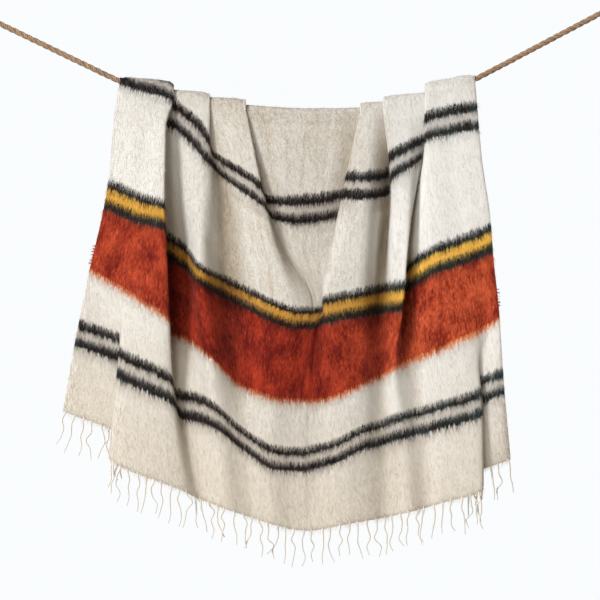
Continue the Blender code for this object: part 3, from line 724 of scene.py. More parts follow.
def stripe_group():
    """Colour of the cloth at a flat place, with ragged stripe edges, streaks, mottling and stray hairs,
    painted shade in the middle of the width, in folds and towards the hem, and painted light and shade of the
    rust curls.
    """
    group, start, end = new_group(
        "woven stripes",
        (("Flat place", "NodeSocketVector", None), ("Ragged edge", "NodeSocketFloat", WOOL_TEETH_REACH),
         ("Fold shade", "NodeSocketFloat", 0.0)),
        (("Colour", "NodeSocketColor"),),
    )
    place = start.outputs["Flat place"]
    split = group.nodes.new("ShaderNodeSeparateXYZ")
    group.links.new(place, split.inputs[0])
    width_share = maths(group, "DIVIDE", split.outputs[0], CLOTH_WIDTH)
    warp = maths(group, "ABSOLUTE", split.outputs[1])
    colour = ragged_stripes(group, place, warp, start.outputs["Ragged edge"])
    red_green_blue = group.nodes.new("ShaderNodeSeparateColor")
    group.links.new(colour, red_green_blue.inputs[0])
    red, green, blue = red_green_blue.outputs
    pale = ramped(group, blue, *PALE_BLUES)
    dyed = maths(group, "SUBTRACT", 1.0, pale)
    black = ramped(group, red, *BLACK_REDS)
    rusty = ramped(group, green, *RUSTY_GREENS)

    # Painted shade: the middle of the width darker and warmer than the side panels
    middle_shade = ramped(group, width_share, *MIDDLE_SHADE_FROM, MIDDLE_SHADE_LEAST)
    middle_shade = times(group, middle_shade, ramped(group, width_share, *MIDDLE_SHADE_TO))
    middle_shade_dye = mixed(group, dyed, MIDDLE_SHADE_CREAM, mixed(group, rusty, MIDDLE_SHADE_YELLOW, MIDDLE_SHADE_RUST))
    colour = mixed(group, middle_shade, colour, mixed(group, 1.0, colour, middle_shade_dye, "MULTIPLY"))

    # Painted light and shade of the curls: lit and shaded copies of the rust, mixed by noise
    lit = mixed(group, 1.0, colour, LIT_CURL, "MULTIPLY")
    shaded = mixed(group, 1.0, colour, SHADED_CURL, "MULTIPLY")
    curls = ramped(group, summed_noises(group, place, CURLS), *CURL_VALUES)
    colour = mixed(group, times(group, rusty, dyed), colour, mixed(group, curls, shaded, lit))
    # Painted shade: darker and warmer deep in folds and along the painted shade lines
    fold_shaded = mixed(group, 1.0, colour, FOLD_SHADE_DYE, "MULTIPLY")
    colour = mixed(group, start.outputs["Fold shade"], colour, fold_shaded)

    # Painted shade: the cream darker and warmer towards the hem
    colour = tinted(group, colour, warp, HEM_SHADE_TINT, pale)
    colour = tinted(group, colour, noise_over(group, place, STREAKS), STREAK_TINT, pale)
    colour = tinted(group, colour, noise_over(group, place, PATCHES), PATCH_TINT, pale)
    middle = times(group, ramped(group, width_share, *WORN_FROM), ramped(group, width_share, *WORN_TO))
    middle = times(group, middle, ramped(group, warp, *WORN_LENGTHS, *WORN_LENGTH_SHARES))
    most_worn = times(group, ramped(group, middle, 0.0, 1.0, *WORN_SHARES), pale)
    colour = tinted(group, colour, summed_noises(group, place, WORN_WOOL), WORN_TINT, most_worn)

    stray = noise_over(group, place, STRAY_HAIRS)
    flecked = times(group, ramped(group, noise_over(group, place, FLECKS), *FLECK_VALUES), black)
    colour = tinted(group, colour, stray, HAIR_ON_BLACK, flecked)
    colour = tinted(group, colour, stray, HAIR_ON_DYE, dyed)
    colour = tinted(group, colour, stray, HAIR_ON_CREAM, pale)
    group.links.new(colour, end.inputs["Colour"])
    return group


def relief_group():
    """Height of brushed hair that lies down the warp, in locks and fine grains."""
    group, start, end = new_group(
        "brushed relief", (("Flat place", "NodeSocketVector", None),), (("Height", "NodeSocketFloat"),)
    )
    group.links.new(summed_noises(group, start.outputs["Flat place"], RELIEF), end.inputs["Height"])
    return group


def uv_place(tree):
    """The piece's own UV place."""
    uv = tree.nodes.new("ShaderNodeUVMap")
    uv.uv_map = "flat"
    return uv.outputs[0]


def flat_place(tree):
    """The flat place of a point of the cloth in metres, from its UV."""
    scaled = tree.nodes.new("ShaderNodeVectorMath")
    scaled.operation = "MULTIPLY_ADD"
    scaled.inputs[1].default_value = (CLOTH_WIDTH, CLOTH_LENGTH, 0.0)
    scaled.inputs[2].default_value = (0.0, -HEM, 0.0)
    tree.links.new(uv_place(tree), scaled.inputs[0])
    return scaled.outputs[0]


def plain_material(name, finish):
    """A material with its surface's own even values set."""
    roughness, sheen, sheen_roughness = finish
    material = bpy.data.materials.new(name)
    material.use_nodes = True
    surface = material.node_tree.nodes["Principled BSDF"]
    surface.inputs["Roughness"].default_value = roughness
    surface.inputs["Sheen Weight"].default_value = sheen
    surface.inputs["Sheen Roughness"].default_value = sheen_roughness
    surface.inputs["Specular IOR Level"].default_value = SPECULAR
    return material, surface


def add_bump(tree, surface, height, relief):
    """Relief of a surface from a height."""
    distance, strength = relief
    bump = tree.nodes.new("ShaderNodeBump")
    bump.inputs["Strength"].default_value = strength
    bump.inputs["Distance"].default_value = distance
    tree.links.new(height, bump.inputs["Height"])
    tree.links.new(bump.outputs[0], surface.inputs["Normal"])


def striped_material(name, finish, stripes, reach):
    """A material with the stripes' colour at each point's flat place, its surface and that place."""
    material, surface = plain_material(name, finish)
    tree = material.node_tree
    place = flat_place(tree)
    colours = group_node(tree, stripes, place)
    colours.inputs["Ragged edge"].default_value = reach
    # The fold attribute carries painted shade for folds and creases
    fold = tree.nodes.new("ShaderNodeAttribute")
    fold.attribute_name = "fold"
    tree.links.new(fold.outputs["Fac"], colours.inputs["Fold shade"])
    tree.links.new(colours.outputs["Colour"], surface.inputs["Base Color"])
    return material, surface, place


def wool_materials():
    """The brushed wool of the cloth, and its loose hairs, each with the colour of its own root."""
    stripes = stripe_group()
    wool, surface, place = striped_material("brushed wool", WOOL_FINISH, stripes, WOOL_TEETH_REACH)
    brushed = group_node(wool.node_tree, relief_group(), place)
    add_bump(wool.node_tree, surface, brushed.outputs["Height"], WOOL_RELIEF)
    loose, _, _ = striped_material("loose hairs", HAIR_FINISH, stripes, HAIR_TEETH_REACH)
    return wool, loose


def yarn_material(name, dyes):
    """Twisted yarn with its twist in the relief and a little colour variation along it."""
    material, surface = plain_material(name, YARN_FINISH)
    tree = material.node_tree
    uv = uv_place(tree)
    tone = noise_over(tree, uv, YARN_TONE)
    tree.links.new(mixed(tree, ramped(tree, tone, *YARN_TONES), *dyes), surface.inputs["Base Color"])
    split = tree.nodes.new("ShaderNodeSeparateXYZ")
    tree.links.new(uv, split.inputs[0])
    turns = plus(tree, times(tree, split.outputs[0], YARN_TURNS), times(tree, split.outputs[1], YARN_SLANT))
    add_bump(tree, surface, plus(tree, maths(tree, "SINE", turns), tone), YARN_RELIEF)
    return material


def jute_material(name, dyes):
    """Jute strands: fine fibres laid along each strand, with painted shade in the grooves between its yarns.
    """
    material, surface = plain_material(name, JUTE_FINISH)
    tree = material.node_tree
    uv = uv_place(tree)
    split = tree.nodes.new("ShaderNodeSeparateXYZ")
    tree.links.new(uv, split.inputs[0])
    slant = tree.nodes.new("ShaderNodeCombineXYZ")
    laid = plus(tree, split.outputs[0], times(tree, split.outputs[1], JUTE_SLANT))
    tree.links.new(laid, slant.inputs[0])
    tree.links.new(split.outputs[1], slant.inputs[1])
    fibres = noise_over(tree, slant.outputs[0], JUTE_FIBRES)
    patches = noise_over(tree, uv, JUTE_PATCHES)
    yarns = maths(tree, "SINE", times(tree, laid, 2 * math.pi * JUTE_YARNS))
    tone = ramped(tree, fibres, *JUTE_FIBRE_VALUES)
    tone = plus(tree, tone, times(tree, patches, JUTE_PATCH_TONE))
    # Painted shade in the grooves between the yarns
    tone = plus(tree, tone, times(tree, yarns, JUTE_GROOVE_SHADE))
    tree.links.new(mixed(tree, ramped(tree, tone, *JUTE_TONES), *dyes), surface.inputs["Base Color"])
    add_bump(tree, surface, plus(tree, times(tree, yarns, JUTE_YARN_HEIGHT), fibres), JUTE_RELIEF)
    return material


def rope_route():
    """The rope's route as X and Z."""
    return np.array([seen(*point) for point in ROPE_ROUTE])


def rope_heights(x):
    """Height of the rope's middle, and its slope, at each x."""
    route = rope_route()
    heights = smooth_curve(route[:, 0], route[:, 1:], x)[:, 0]
    ahead = smooth_curve(route[:, 0], route[:, 1:], x + MM)[:, 0]
    return heights, (ahead - heights) / MM


def rope_path():
    """The rope's middle, from the left seizing to the right one."""
    route = rope_route()
    x = np.linspace(route[0, 0], route[-1, 0], ROPE_STEPS)
    heights, _ = rope_heights(x)
    return np.stack([x, np.zeros(len(x)), heights], axis=1)


def laid_strands(path):
    """Three strands laid round a path in the XZ plane, as a rope's are."""
    fine = walked_along(path)
    count = max(STRAND_LEAST_RINGS, round(fine[-1] / STRAND_STEP))
    wanted = np.linspace(0, fine[-1], count)
    middle = np.stack([np.interp(wanted, fine, path[:, k]) for k in range(3)], axis=1)
    ahead = np.gradient(middle, axis=0)
    ahead /= np.linalg.norm(ahead, axis=1, keepdims=True)
    up = np.stack([-ahead[:, 2], np.zeros(len(ahead)), ahead[:, 0]], axis=1)
    parts = []
    for strand in range(3):
        turn = 2 * math.pi * (wanted / ROPE_LAY + strand / 3)
        swell = 1 + STRAND_SWELL * uneven(wanted, np.zeros(count), SWELL_SIZE, 1.0, STRAND_SEED + strand)
        line = middle + STRAND_CIRCLE * (np.cos(turn)[:, None] * up + np.sin(turn)[:, None] * TOWARDS_VIEW)
        parts.append(tube(line, STRAND_RADIUS * swell, STRAND_SIDES))
    return joined(parts)


def end_frame(left):
    """Where the rope ends on one side, the direction in which it goes on outwards, and the one across it."""
    route = rope_route()
    tip, before = (route[0], route[1]) if left else (route[-1], route[-2])
    way = (tip - before) / np.linalg.norm(tip - before)
    return np.array([tip[0], 0.0, tip[1]]), np.array([way[0], 0.0, way[1]]), np.array([-way[1], 0.0, way[0]])


def eye_path(left):
    """The rope's turned-back end: out of the seizing, round the crown and back to it."""
    tip, way, lift = end_frame(left)
    start = tip + way * (SEIZING_LENGTH + EYE_GAP)
    reach = EYE_LENGTH - EYE_RADIUS - ROPE_DIAMETER / 2
    crown = start + way * reach
    leg = ROPE_DIAMETER / 2 + LEG_GAP
    # Each stop of a leg is a share of the way to the crown, and a height off the middle
    legs = [(0.0, leg), (0.12, leg), (0.30, leg + 0.14 * EYE_RADIUS), (0.66, 0.80 * EYE_RADIUS)]
    upper = [start + way * (share * reach) + lift * height for share, height in legs]
    turns = [math.radians(a) for a in EYE_TURNS]
    round_crown = [crown + EYE_RADIUS * (math.cos(a) * way + math.sin(a) * lift) for a in turns]
    lower = [start + way * (share * reach) - lift * height for share, height in reversed(legs)]
    stops = np.array(upper + round_crown + lower)
    walked = walked_along(stops)
    return smooth_curve(walked, stops, np.linspace(0, walked[-1], EYE_STEPS))


def wound_seizing(left):
    """Twine wound round the two parts of the rope at an eye, turn by turn."""
    tip, way, lift = end_frame(left)
    t = np.linspace(0, 1, SEIZING_TURNS * SEIZING_TURN_STEPS)
    angle = 2 * math.pi * SEIZING_TURNS * t
    tall = (SEIZING_RADIUS - TWINE_RADIUS) * np.cos(angle)
    deep = (SEIZING_DEPTH_SHARE * SEIZING_RADIUS - TWINE_RADIUS) * np.sin(angle)
    along = TWINE_RADIUS + (SEIZING_LENGTH - 2 * TWINE_RADIUS) * t
    wound = tip + along[:, None] * way + tall[:, None] * lift + deep[:, None] * TOWARDS_VIEW
    return tube(wound, TWINE_RADIUS, TWINE_SIDES)


def front_line(fold):
    """Points and warp lengths of one fold line on the seen side, from the rope's top."""
    rows = fold_arc(fold, -1.0)
    stops = [rows[-1][0]]
    for across, down, out in zip(fold.across[1:], fold.down[1:], fold.out):
        x, z = seen(across, down)
        stops.append(np.array([x, -out * MM, z]))
    stops = np.array(stops)
    first = np.linalg.norm(stops[1] - stops[0])
    lengths = [0.0, first] + [first + thread - UPPER_THREAD for thread in THREADS[1:]]
    wanted = list(np.linspace(0, 1, TOP_STEPS + 1)[1:] * first)
    for low, high in zip(lengths[1:], lengths[2:]):
        count = round((high - low) / ROW_STEP)
        wanted += [low + (high - low) * (i + 1) / count for i in range(count)]
    curve = smooth_curve(lengths, stops, wanted)
    top_thread = UPPER_THREAD - first - rows[-1][1]
    points = [point for point, _ in rows] + list(curve)
    warps = [top_thread + walked for _, walked in rows]
    warps += [top_thread + rows[-1][1] + length for length in wanted]
    return np.array(points), np.array(warps)


def fold_arc(fold, side):
    """A fold line's points over the rope, from its top to one side along Y, with the distance walked."""
    x_top, z_top = seen(fold.across[0], fold.down[0])
    rope_z, rope_slope = rope_heights(np.array([x_top]))
    least = ROPE_DIAMETER / 2 + ROPE_TO_CLOTH + SOLID_THICKNESS / 2
    rise = max(z_top - rope_z[0], least * math.hypot(1, rope_slope[0]))
    reach = least + ARC_DEPTH * (rise - least)
    rows = []
    walked = 0.0
    last = None
    for degrees in ARC_ROWS:
        turn = math.radians(degrees)
        point = np.array([x_top, side * reach * math.sin(turn), rope_z[0] + rise * math.cos(turn)])
        if last is not None:
            walked += np.linalg.norm(point - last)
        rows.append((point, walked))
        last = point
    return rows


def back_line(fold, top_thread, share_across):
    """Points and warp lengths of one fold line behind the rope, from below its top to the far hem."""
    rows = fold_arc(fold, 1.0)
    start = rows[-1][0]
    left, _ = seen(BACK_LEFT, 0)
    right, _ = seen(BACK_RIGHT, 0)
    length = HEM + top_thread - rows[-1][1]
    end_x = left + (right - left) * share_across
    if share_across not in (0.0, 1.0):
        end_x = start[0] + (end_x - start[0]) * BACK_SPREAD
    stops = [start]
    for share, spread, depth in BACK_STOPS:
        x = start[0] + (end_x - start[0]) * spread
        stops.append(np.array([x, fold.back * MM * depth, start[2] - length * share]))
    shares = np.linspace(0, 1, round(HEM / BACK_STEP) + 1)[1:]
    curve = smooth_curve([0.0] + [stop[0] for stop in BACK_STOPS], np.array(stops), shares)
    points = [point for point, _ in rows[1:]] + list(curve)
    warps = [top_thread - walked for _, walked in rows[1:]]
    warps += [top_thread - rows[-1][1] - length * share for share in shares]
    return np.array(points), np.array(warps)


def across_all(lines, warps, counts):
    """A smooth surface through the fold lines, with counts[i] steps in interval i."""
    points = np.concatenate([np.stack(lines, axis=1), np.stack(warps, axis=1)[:, :, None]], axis=2)
    padded = np.concatenate(
        [2 * points[:, :1] - points[:, 1:2], points, 2 * points[:, -1:] - points[:, -2:-1]], axis=1
    )
    gaps = np.sqrt(np.linalg.norm(np.diff(padded[:, :, :3], axis=1), axis=2))
    knots = np.concatenate([np.zeros((len(points), 1)), np.cumsum(gaps, axis=1)], axis=1)[:, :, None]
    made = []
    for i, count in enumerate(counts):
        p0, p1, p2, p3 = (padded[:, i + k] for k in range(4))
        t0, t1, t2, t3 = (knots[:, i + k] for k in range(4))
        for step in range(count):
            t = t1 + (t2 - t1) * step / count
            a1 = (t1 - t) / (t1 - t0) * p0 + (t - t0) / (t1 - t0) * p1
            a2 = (t2 - t) / (t2 - t1) * p1 + (t - t1) / (t2 - t1) * p2
            a3 = (t3 - t) / (t3 - t2) * p2 + (t - t2) / (t3 - t2) * p3
            b1 = (t2 - t) / (t2 - t0) * a1 + (t - t0) / (t2 - t0) * a2
            b2 = (t3 - t) / (t3 - t1) * a2 + (t - t1) / (t3 - t1) * a3
            made.append((t2 - t) / (t2 - t1) * b1 + (t - t1) / (t2 - t1) * b2)
    made.append(points[:, -1])
    made = np.stack(made, axis=1)
    return made[:, :, :3], made[:, :, 3]


def clear_of_rope(points):
    """Push points out to where the lowest layer of cloth lies on the rope."""
    least = ROPE_DIAMETER / 2 + LOWEST_LAYER_GAP + CLOTH_THICKNESS / 2
    heights, slopes = rope_heights(points[:, 0])
    lean = 1 / np.sqrt(1 + slopes**2)
    up = (points[:, 2] - heights) * lean
    distance = np.hypot(up, points[:, 1])
    short = distance < least
    share = least / np.maximum(distance, MM)
    moved = points.copy()
    moved[short, 1] = points[short, 1] * share[short]
    moved[short, 2] = heights[short] + up[short] * share[short] / lean[short]
    return moved


def grid_normals(grid):
    """Unit normals of a grid of points, pointing away from the rope."""
    normals = np.cross(np.gradient(grid, axis=0), np.gradient(grid, axis=1))
    return normals / np.maximum(np.linalg.norm(normals, axis=2, keepdims=True), 1e-9)


def line_amounts(lines, grid, hang):
    """Sum of what the lines on the seen side give at each point."""
    across = VIEW_MIDDLE + (grid[:, :, 0] - MIDDLE_X) / PIXEL
    down = VIEW_BOTTOM - (grid[:, :, 2] - FOOT_Z) / PIXEL
    total = np.zeros(across.shape)
    for line in lines:
        start, end = np.array(line.start, float), np.array(line.end, float)
        way = end - start
        long = np.linalg.norm(way)
        way /= long
        along = (across - start[0]) * way[0] + (down - start[1]) * way[1]
        off = (across - start[0]) * way[1] - (down - start[1]) * way[0]
        fade = np.sin(math.pi * np.clip(along / long, 0, 1)) ** LINE_FADE
        total += line.amount * fade * np.exp(-((off / line.width) ** 2))
    return total * (hang > LINE_TOP)


def cloth_grid():
    """The middle surface of the hung cloth with its creases, each point's flat place and how far it hangs.

    That last length runs down the warp from the rope's top, and is negative behind the rope.
    """
    fronts = [front_line(fold) for fold in FOLDS]
    widths = walked_along(np.array([points[0] for points, _ in fronts]))
    shares = widths / widths[-1]
    backs = [back_line(fold, warps[0], share) for fold, (_, warps), share in zip(FOLDS, fronts, shares)]
    lines = [np.vstack([back[::-1], front]) for (front, _), (back, _) in zip(fronts, backs)]
    warps = [np.concatenate([back[::-1], front]) for (_, front), (_, back) in zip(fronts, backs)]
    gaps = [np.linalg.norm(a - b, axis=1).mean() for a, b in zip(lines, lines[1:])]
    counts = [max(LEAST_COLUMNS, round(gap * CURVE_SHARE / COLUMN_STEP)) for gap in gaps]
    grid, warp = across_all(lines, warps, counts)
    steps = np.linalg.norm(np.diff(grid, axis=1), axis=2)
    place = np.concatenate([np.zeros((len(grid), 1)), np.cumsum(steps, axis=1)], axis=1)
    weft = (place / place[:, -1:]).mean(axis=0) * CLOTH_WIDTH
    weft = np.broadcast_to(weft, warp.shape)
    hang = warp - warp[len(backs[0][0])][None, :]

    columns = np.concatenate([[0], np.cumsum(counts)])
    corners = np.array([weft[0, column] for fold, column in zip(FOLDS, columns) if fold.name in ROUNDED])
    nearest = np.abs(weft[:, :, None] - corners).min(axis=2)
    crown = CROWN_SWELL - CORNER_DROP * np.exp(-((nearest / CORNER_WIDTH) ** 2))
    crown = crown * np.exp(-((hang / CROWN_REACH) ** 2))
    below = np.clip((np.abs(hang) - UNEVEN_START) / UNEVEN_REACH, 0, 1)
    height = np.zeros(warp.shape)
    for tall, size_across, size_along, seed, fades in UNEVENNESS:
        patches = tall * MM * uneven(weft, warp, size_across * MM, size_along * MM, seed)
        height = height + (patches * below if fades else patches)
    height = height + line_amounts(CREASES, grid, hang) * MM + crown
    grid = grid + grid_normals(grid) * height[:, :, None]
    return clear_of_rope(grid.reshape(-1, 3)).reshape(grid.shape), weft, warp, hang


def painted_fold_shade(grid, weft, hang):
    """How much painted shade each point gets, from 0 to 1: how far it is behind the cloth beside it, plus the
    painted shade lines.
    """
    out = np.where(hang > 0, -grid[:, :, 1], grid[:, :, 1])
    padded = np.pad(out, ((0, 0), (FOLD_BLUR, FOLD_BLUR)), mode="edge")
    total = np.concatenate([np.zeros((len(out), 1)), np.cumsum(padded, axis=1)], axis=1)
    span = 2 * FOLD_BLUR + 1
    around = (total[:, span:] - total[:, :-span]) / span
    deep = np.clip((around - out - FOLD_START) / FOLD_DEPTH, 0, 1)
    from_selvedge = np.minimum(weft, CLOTH_WIDTH - weft)
    deep = deep * np.clip(from_selvedge / FOLD_MARGIN - FOLD_MARGIN_SHARE, 0, 1)
    deep = deep * np.clip((np.abs(hang) - FOLD_HANG_START) / FOLD_HANG_REACH, 0, 1)
    return np.clip(deep + line_amounts(PAINTED_SHADE_LINES, grid, hang), 0, 1)


def flat_uv(weft, warp):
    """UV of flat places, which reach from 0 to 1 over the cloth."""
    return np.stack([weft / CLOTH_WIDTH, (warp + HEM) / CLOTH_LENGTH], axis=-1)


def closed_sheet(grid, weft, warp, fold_shades):
    """Vertices, faces, flat places and painted fold shades of the cloth's closed sheet round a grid of points.
    """
    rows, columns = grid.shape[:2]
    from_rim = np.minimum(HEM - np.abs(warp), np.minimum(weft, CLOTH_WIDTH - weft))
    thinned = np.clip(from_rim / RIM_TAPER, RIM_SHARE, 1)[:, :, None]
    half = grid_normals(grid) * thinned * CLOTH_THICKNESS / 2
    count = rows * columns
    i, j = np.meshgrid(np.arange(rows - 1), np.arange(columns - 1), indexing="ij")
    a = (i * columns + j).ravel()
    b, c, d = a + 1, a + 1 + columns, a + columns
    faces = np.stack([a, d, c, b], axis=1).tolist()
    faces += (np.stack([a, b, c, d], axis=1) + count).tolist()
    rim = list(range(columns))
    rim += [i * columns + columns - 1 for i in range(1, rows)]
    rim += [(rows - 1) * columns + j for j in range(columns - 2, -1, -1)]
    rim += [i * columns for i in range(rows - 2, 0, -1)]
    for a, b in zip(rim, rim[1:] + rim[:1]):
        faces.append((a, b, b + count, a + count))
    vertices = np.vstack([(grid + half).reshape(-1, 3), (grid - half).reshape(-1, 3)])
    return vertices, faces, np.tile(flat_uv(weft.ravel(), warp.ravel()), (2, 1)), np.tile(fold_shades.ravel(), 2)


def hair_roots(grid, warp, hang, kind, chance):
    """The cells of the grid in which hairs are rooted, drawn by area, and each root's place in its cell."""
    edges_a = grid[1:, :-1] - grid[:-1, :-1]
    edges_b = grid[:-1, 1:] - grid[:-1, :-1]
    areas = np.linalg.norm(np.cross(edges_a, edges_b), axis=2)
    hang, warp = hang[:-1, :-1], np.abs(warp[:-1, :-1])
    areas = areas * (hang > kind.lowest) * (hang < kind.highest) * (warp < HEM - HAIR_HEM_GAP)
    if kind.at_borders:
        from_border = np.abs(warp[:, :, None] - np.array(BORDERS)).min(axis=2)
        areas = areas * np.exp(-((from_border / BORDER_REACH) ** 2))
    total = np.cumsum(areas.ravel())
    cell = np.searchsorted(total, chance.uniform(0, total[-1], kind.count))
    i, j = np.unravel_index(np.minimum(cell, areas.size - 1), areas.shape)
    return i, j, chance.uniform(0, 1, kind.count), chance.uniform(0, 1, kind.count)


def hair_blades(grid, weft, warp, hang, fold_shades, kind):
    """Loose hairs that lie down from the rope, as two-step blades.

    Each has the flat place and the painted fold shade of its own root.
    """
    count = kind.count
    chance = np.random.RandomState(kind.seed)
    i, j, s, t = hair_roots(grid, warp, hang, kind, chance)

    def at(values):
        down_share, across_share = (s, t) if values.ndim == 2 else (s[:, None], t[:, None])
        low = values[i, j] * (1 - across_share) + values[i, j + 1] * across_share
        high = values[i + 1, j] * (1 - across_share) + values[i + 1, j + 1] * across_share
        return low * (1 - down_share) + high * down_share

    normals = grid_normals(grid) * (1.0 if kind.outer else -1.0)
    down = np.gradient(grid, axis=0) * np.where(hang < 0, -1.0, 1.0)[:, :, None]
    down /= np.linalg.norm(down, axis=2, keepdims=True)
    normal = at(normals)
    normal /= np.linalg.norm(normal, axis=1, keepdims=True)
    way = at(down)
    way -= normal * np.sum(way * normal, axis=1, keepdims=True)
    way /= np.linalg.norm(way, axis=1, keepdims=True)
    root = at(grid) + normal * (CLOTH_THICKNESS / 2 - HAIR_ROOT_DEPTH)
    aside = np.cross(normal, way)
    turn = np.radians(chance.normal(0, kind.spread, count))[:, None]
    bend = np.radians(chance.normal(0, HAIR_BEND + kind.spread * HAIR_BEND_SHARE, count))[:, None]
    least, most = kind.lift
    rise = np.radians(least + (most - least) * chance.uniform(0, 1, count) ** HAIR_LIFT_POWER)[:, None]
    length = (chance.uniform(*kind.lengths, count) * MM)[:, None]
    width = (chance.uniform(*HAIR_WIDTHS, count) * MM)[:, None]

    def step(angle, up):
        return (np.cos(angle) * way + np.sin(angle) * aside) * np.cos(up) + normal * np.sin(up)

    middle = root + step(turn, rise) * length * 0.5
    tip = middle + step(turn + bend, rise * HAIR_TIP_LIFT) * length * 0.5
    across = np.cross(normal, step(turn, rise))
    across /= np.linalg.norm(across, axis=1, keepdims=True)
    foot, waist = across * width / 2, across * width * HAIR_WAIST
    corners = [root - foot, root + foot, middle + waist, middle - waist, tip]
    vertices = np.stack(corners, axis=1).reshape(-1, 3)
    base = HAIR_CORNERS * np.arange(count)
    faces = np.stack([base, base + 3, base + 2, base + 1], axis=1).tolist()
    faces += np.stack([base + 3, base + 4, base + 2], axis=1).tolist()
    uv = np.repeat(flat_uv(at(weft), at(warp)), HAIR_CORNERS, axis=0)
    return vertices, faces, uv, np.repeat(at(fold_shades), HAIR_CORNERS)


def selvedge_tufts(grid, weft, warp, kind):
    """Curls of wool that have worked loose from a selvedge between two weft threads."""
    column = kind.column
    chance = np.random.RandomState(kind.seed)
    rows = np.nonzero((warp[:, column] > kind.first) & (warp[:, column] < kind.last))[0]
    outward = grid[:, column] - grid[:, 1 if column == 0 else column - 1]
    outward /= np.linalg.norm(outward, axis=1, keepdims=True)
    t = np.linspace(0, 1, TUFT_STEPS)
    parts = []
    for row in chance.choice(rows, kind.count):
        long = chance.uniform(*TUFT_LENGTHS) * MM
        ring = chance.uniform(*TUFT_CURLS) * MM
        turns = chance.uniform(*TUFT_TURNS)
        angle = chance.uniform(0, 2 * math.pi) + 2 * math.pi * turns * t
        swing = np.stack([np.cos(angle), np.sin(2 * angle) * TUFT_DEPTH, np.sin(angle)], axis=1) * ring
        line = grid[row, column] - outward[row] * TUFT_ROOT * MM + outward[row] * (long * t)[:, None]
        line = line + (swing - swing[0]) * t[:, None] - UPWARDS * (long * TUFT_SAG * t**2)[:, None]
        line = line - TOWARDS_VIEW * chance.normal(0, TUFT_OFFSET) * MM
        vertices, faces, _ = tube(line, TUFT_RADIUS * (1 - TUFT_TAPER * t), TUFT_SIDES)
        flat = flat_uv(weft[row, column], warp[row, column])
        parts.append((vertices, faces, np.tile(flat, (len(vertices), 1))))
    return joined(parts)


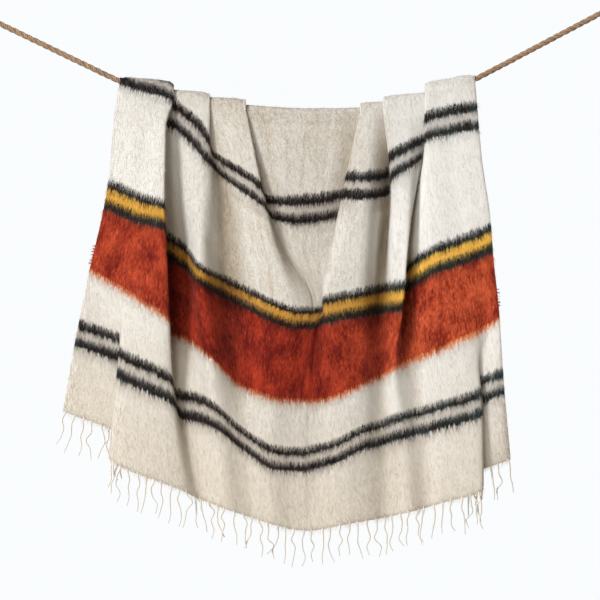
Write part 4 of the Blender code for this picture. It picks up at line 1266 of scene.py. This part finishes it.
def fringe_yarns(edge, inside, seed):
    """Two-ply warp ends that hang from one hem, wavy and uneven, some of them crossing."""
    walked = walked_along(edge)
    count = round(walked[-1] / YARN_SPACING)
    spacing = walked[-1] / count
    chance = np.random.RandomState(seed)
    wanted = np.linspace(0, 1, YARN_STEPS)
    parts = []
    lean = 0.0
    for i in range(count):
        place = spacing * (i + 0.5 + chance.uniform(-YARN_PLACE, YARN_PLACE))
        root = np.array([np.interp(place, walked, edge[:, k]) for k in range(3)])
        within = np.array([np.interp(place, walked, inside[:, k]) for k in range(3)])
        way = (root - within) / np.linalg.norm(root - within)
        share = place / walked[-1]
        bow = -BOW_LEFT * max(0.0, 1 - share / BOW_SHARE) + BOW_RIGHT * max(0.0, 1 - (1 - share) / BOW_SHARE)
        length = YARN_LENGTH * chance.uniform(*YARN_LENGTH_SHARES)
        lean_before = lean
        lean = chance.normal(0, YARN_LEAN) * MM
        if chance.uniform() < CROSSING_SHARE:
            lean = -lean_before * CROSSING_BACK - chance.uniform(*CROSSING_MORE) * MM
        wave = chance.normal(0, 1, (len(YARN_STOPS), 2)) * YARN_WAVES * MM
        wave[:2] = 0.0
        wave[-1] *= YARN_TIP_WAVE
        wave[:, 0] += lean * YARN_STOPS + bow * YARN_STOPS**0.7
        wave[:, 1] += (YARN_SIDE_STEP if i % 2 else -YARN_SIDE_STEP) * np.minimum(YARN_STOPS * 2, 1)
        fall = np.minimum(wanted * 4, 1)[:, None]
        steps = (way * (1 - fall) - UPWARDS * fall) * length / (YARN_STEPS - 1)
        line = root - way * YARN_ROOT + np.cumsum(np.vstack([np.zeros(3), steps[:-1]]), axis=0)
        line[:, :2] += smooth_curve(YARN_STOPS, wave, wanted)
        taper = 1 - YARN_TAPER * wanted**1.5
        turn = 2 * math.pi * wanted * length / PLY_LAY + chance.uniform(0, 6)
        for ply in (0.0, math.pi):
            swing = np.stack([np.cos(turn + ply), np.sin(turn + ply), np.zeros(len(turn))], axis=1)
            middle = line + swing * (PLY_OFFSET * YARN_RADIUS * taper)[:, None]
            parts.append(tube(middle, YARN_RADIUS * taper, YARN_SIDES))
    return joined(parts)


def add_piece(name, shape, material, replaced=None):
    """A piece on the part's one body, in place of a named solid if it stands for one."""
    piece = new_object(name, shape, material)
    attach(piece, "root")
    if replaced:
        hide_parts(replaced)
    return piece


def add_rope():
    """The rope with its eyes and seizings, as one cord."""
    jute = jute_material("jute", JUTE_DYES)
    twine = jute_material("twine", TWINE_DYES)
    path = rope_path()
    rope = add_piece("jute_rope", laid_strands(path), jute, "rope")
    for side, left in (("left", True), ("right", False)):
        add_piece(f"{side}_rope_eye", laid_strands(eye_path(left)), jute, f"{side}_eye")
        add_piece(f"{side}_wound_twine", wound_seizing(left), twine, f"{side}_seizing")
    return rope


def add_throw(rope):
    """The cloth over the rope, with its loose hairs, tufts and warp ends."""
    wool, loose = wool_materials()
    yarn = yarn_material("warp yarn", YARN_DYES)
    grid, weft, warp, hang = cloth_grid()
    # Painted shade deep in the folds, carried to the cloth and its hairs
    fold_shades = painted_fold_shade(grid, weft, hang)
    cloth = add_piece("woven_throw", closed_sheet(grid, weft, warp, fold_shades), wool, "throw")
    for kind in HAIR_PIECES:
        blades = hair_blades(grid, weft, warp, hang, fold_shades, kind)
        add_piece(kind.name, blades, loose)
    for kind in TUFT_PIECES:
        add_piece(kind.name, selvedge_tufts(grid, weft, warp, kind), loose)
    for fringe in FRINGES:
        yarns = fringe_yarns(grid[fringe.hem], grid[fringe.inside], fringe.seed)
        name = f"warp_ends_{fringe.side}"
        add_piece(name, yarns, yarn, f"fringe_{fringe.side}")


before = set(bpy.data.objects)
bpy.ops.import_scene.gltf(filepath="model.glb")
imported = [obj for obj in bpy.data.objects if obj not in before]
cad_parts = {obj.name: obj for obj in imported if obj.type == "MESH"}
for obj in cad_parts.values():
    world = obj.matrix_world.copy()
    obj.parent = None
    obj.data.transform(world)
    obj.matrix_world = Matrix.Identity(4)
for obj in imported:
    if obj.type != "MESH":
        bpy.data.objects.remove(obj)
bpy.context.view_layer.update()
add_camera()
add_lights()
add_throw(add_rope())
add_floor()
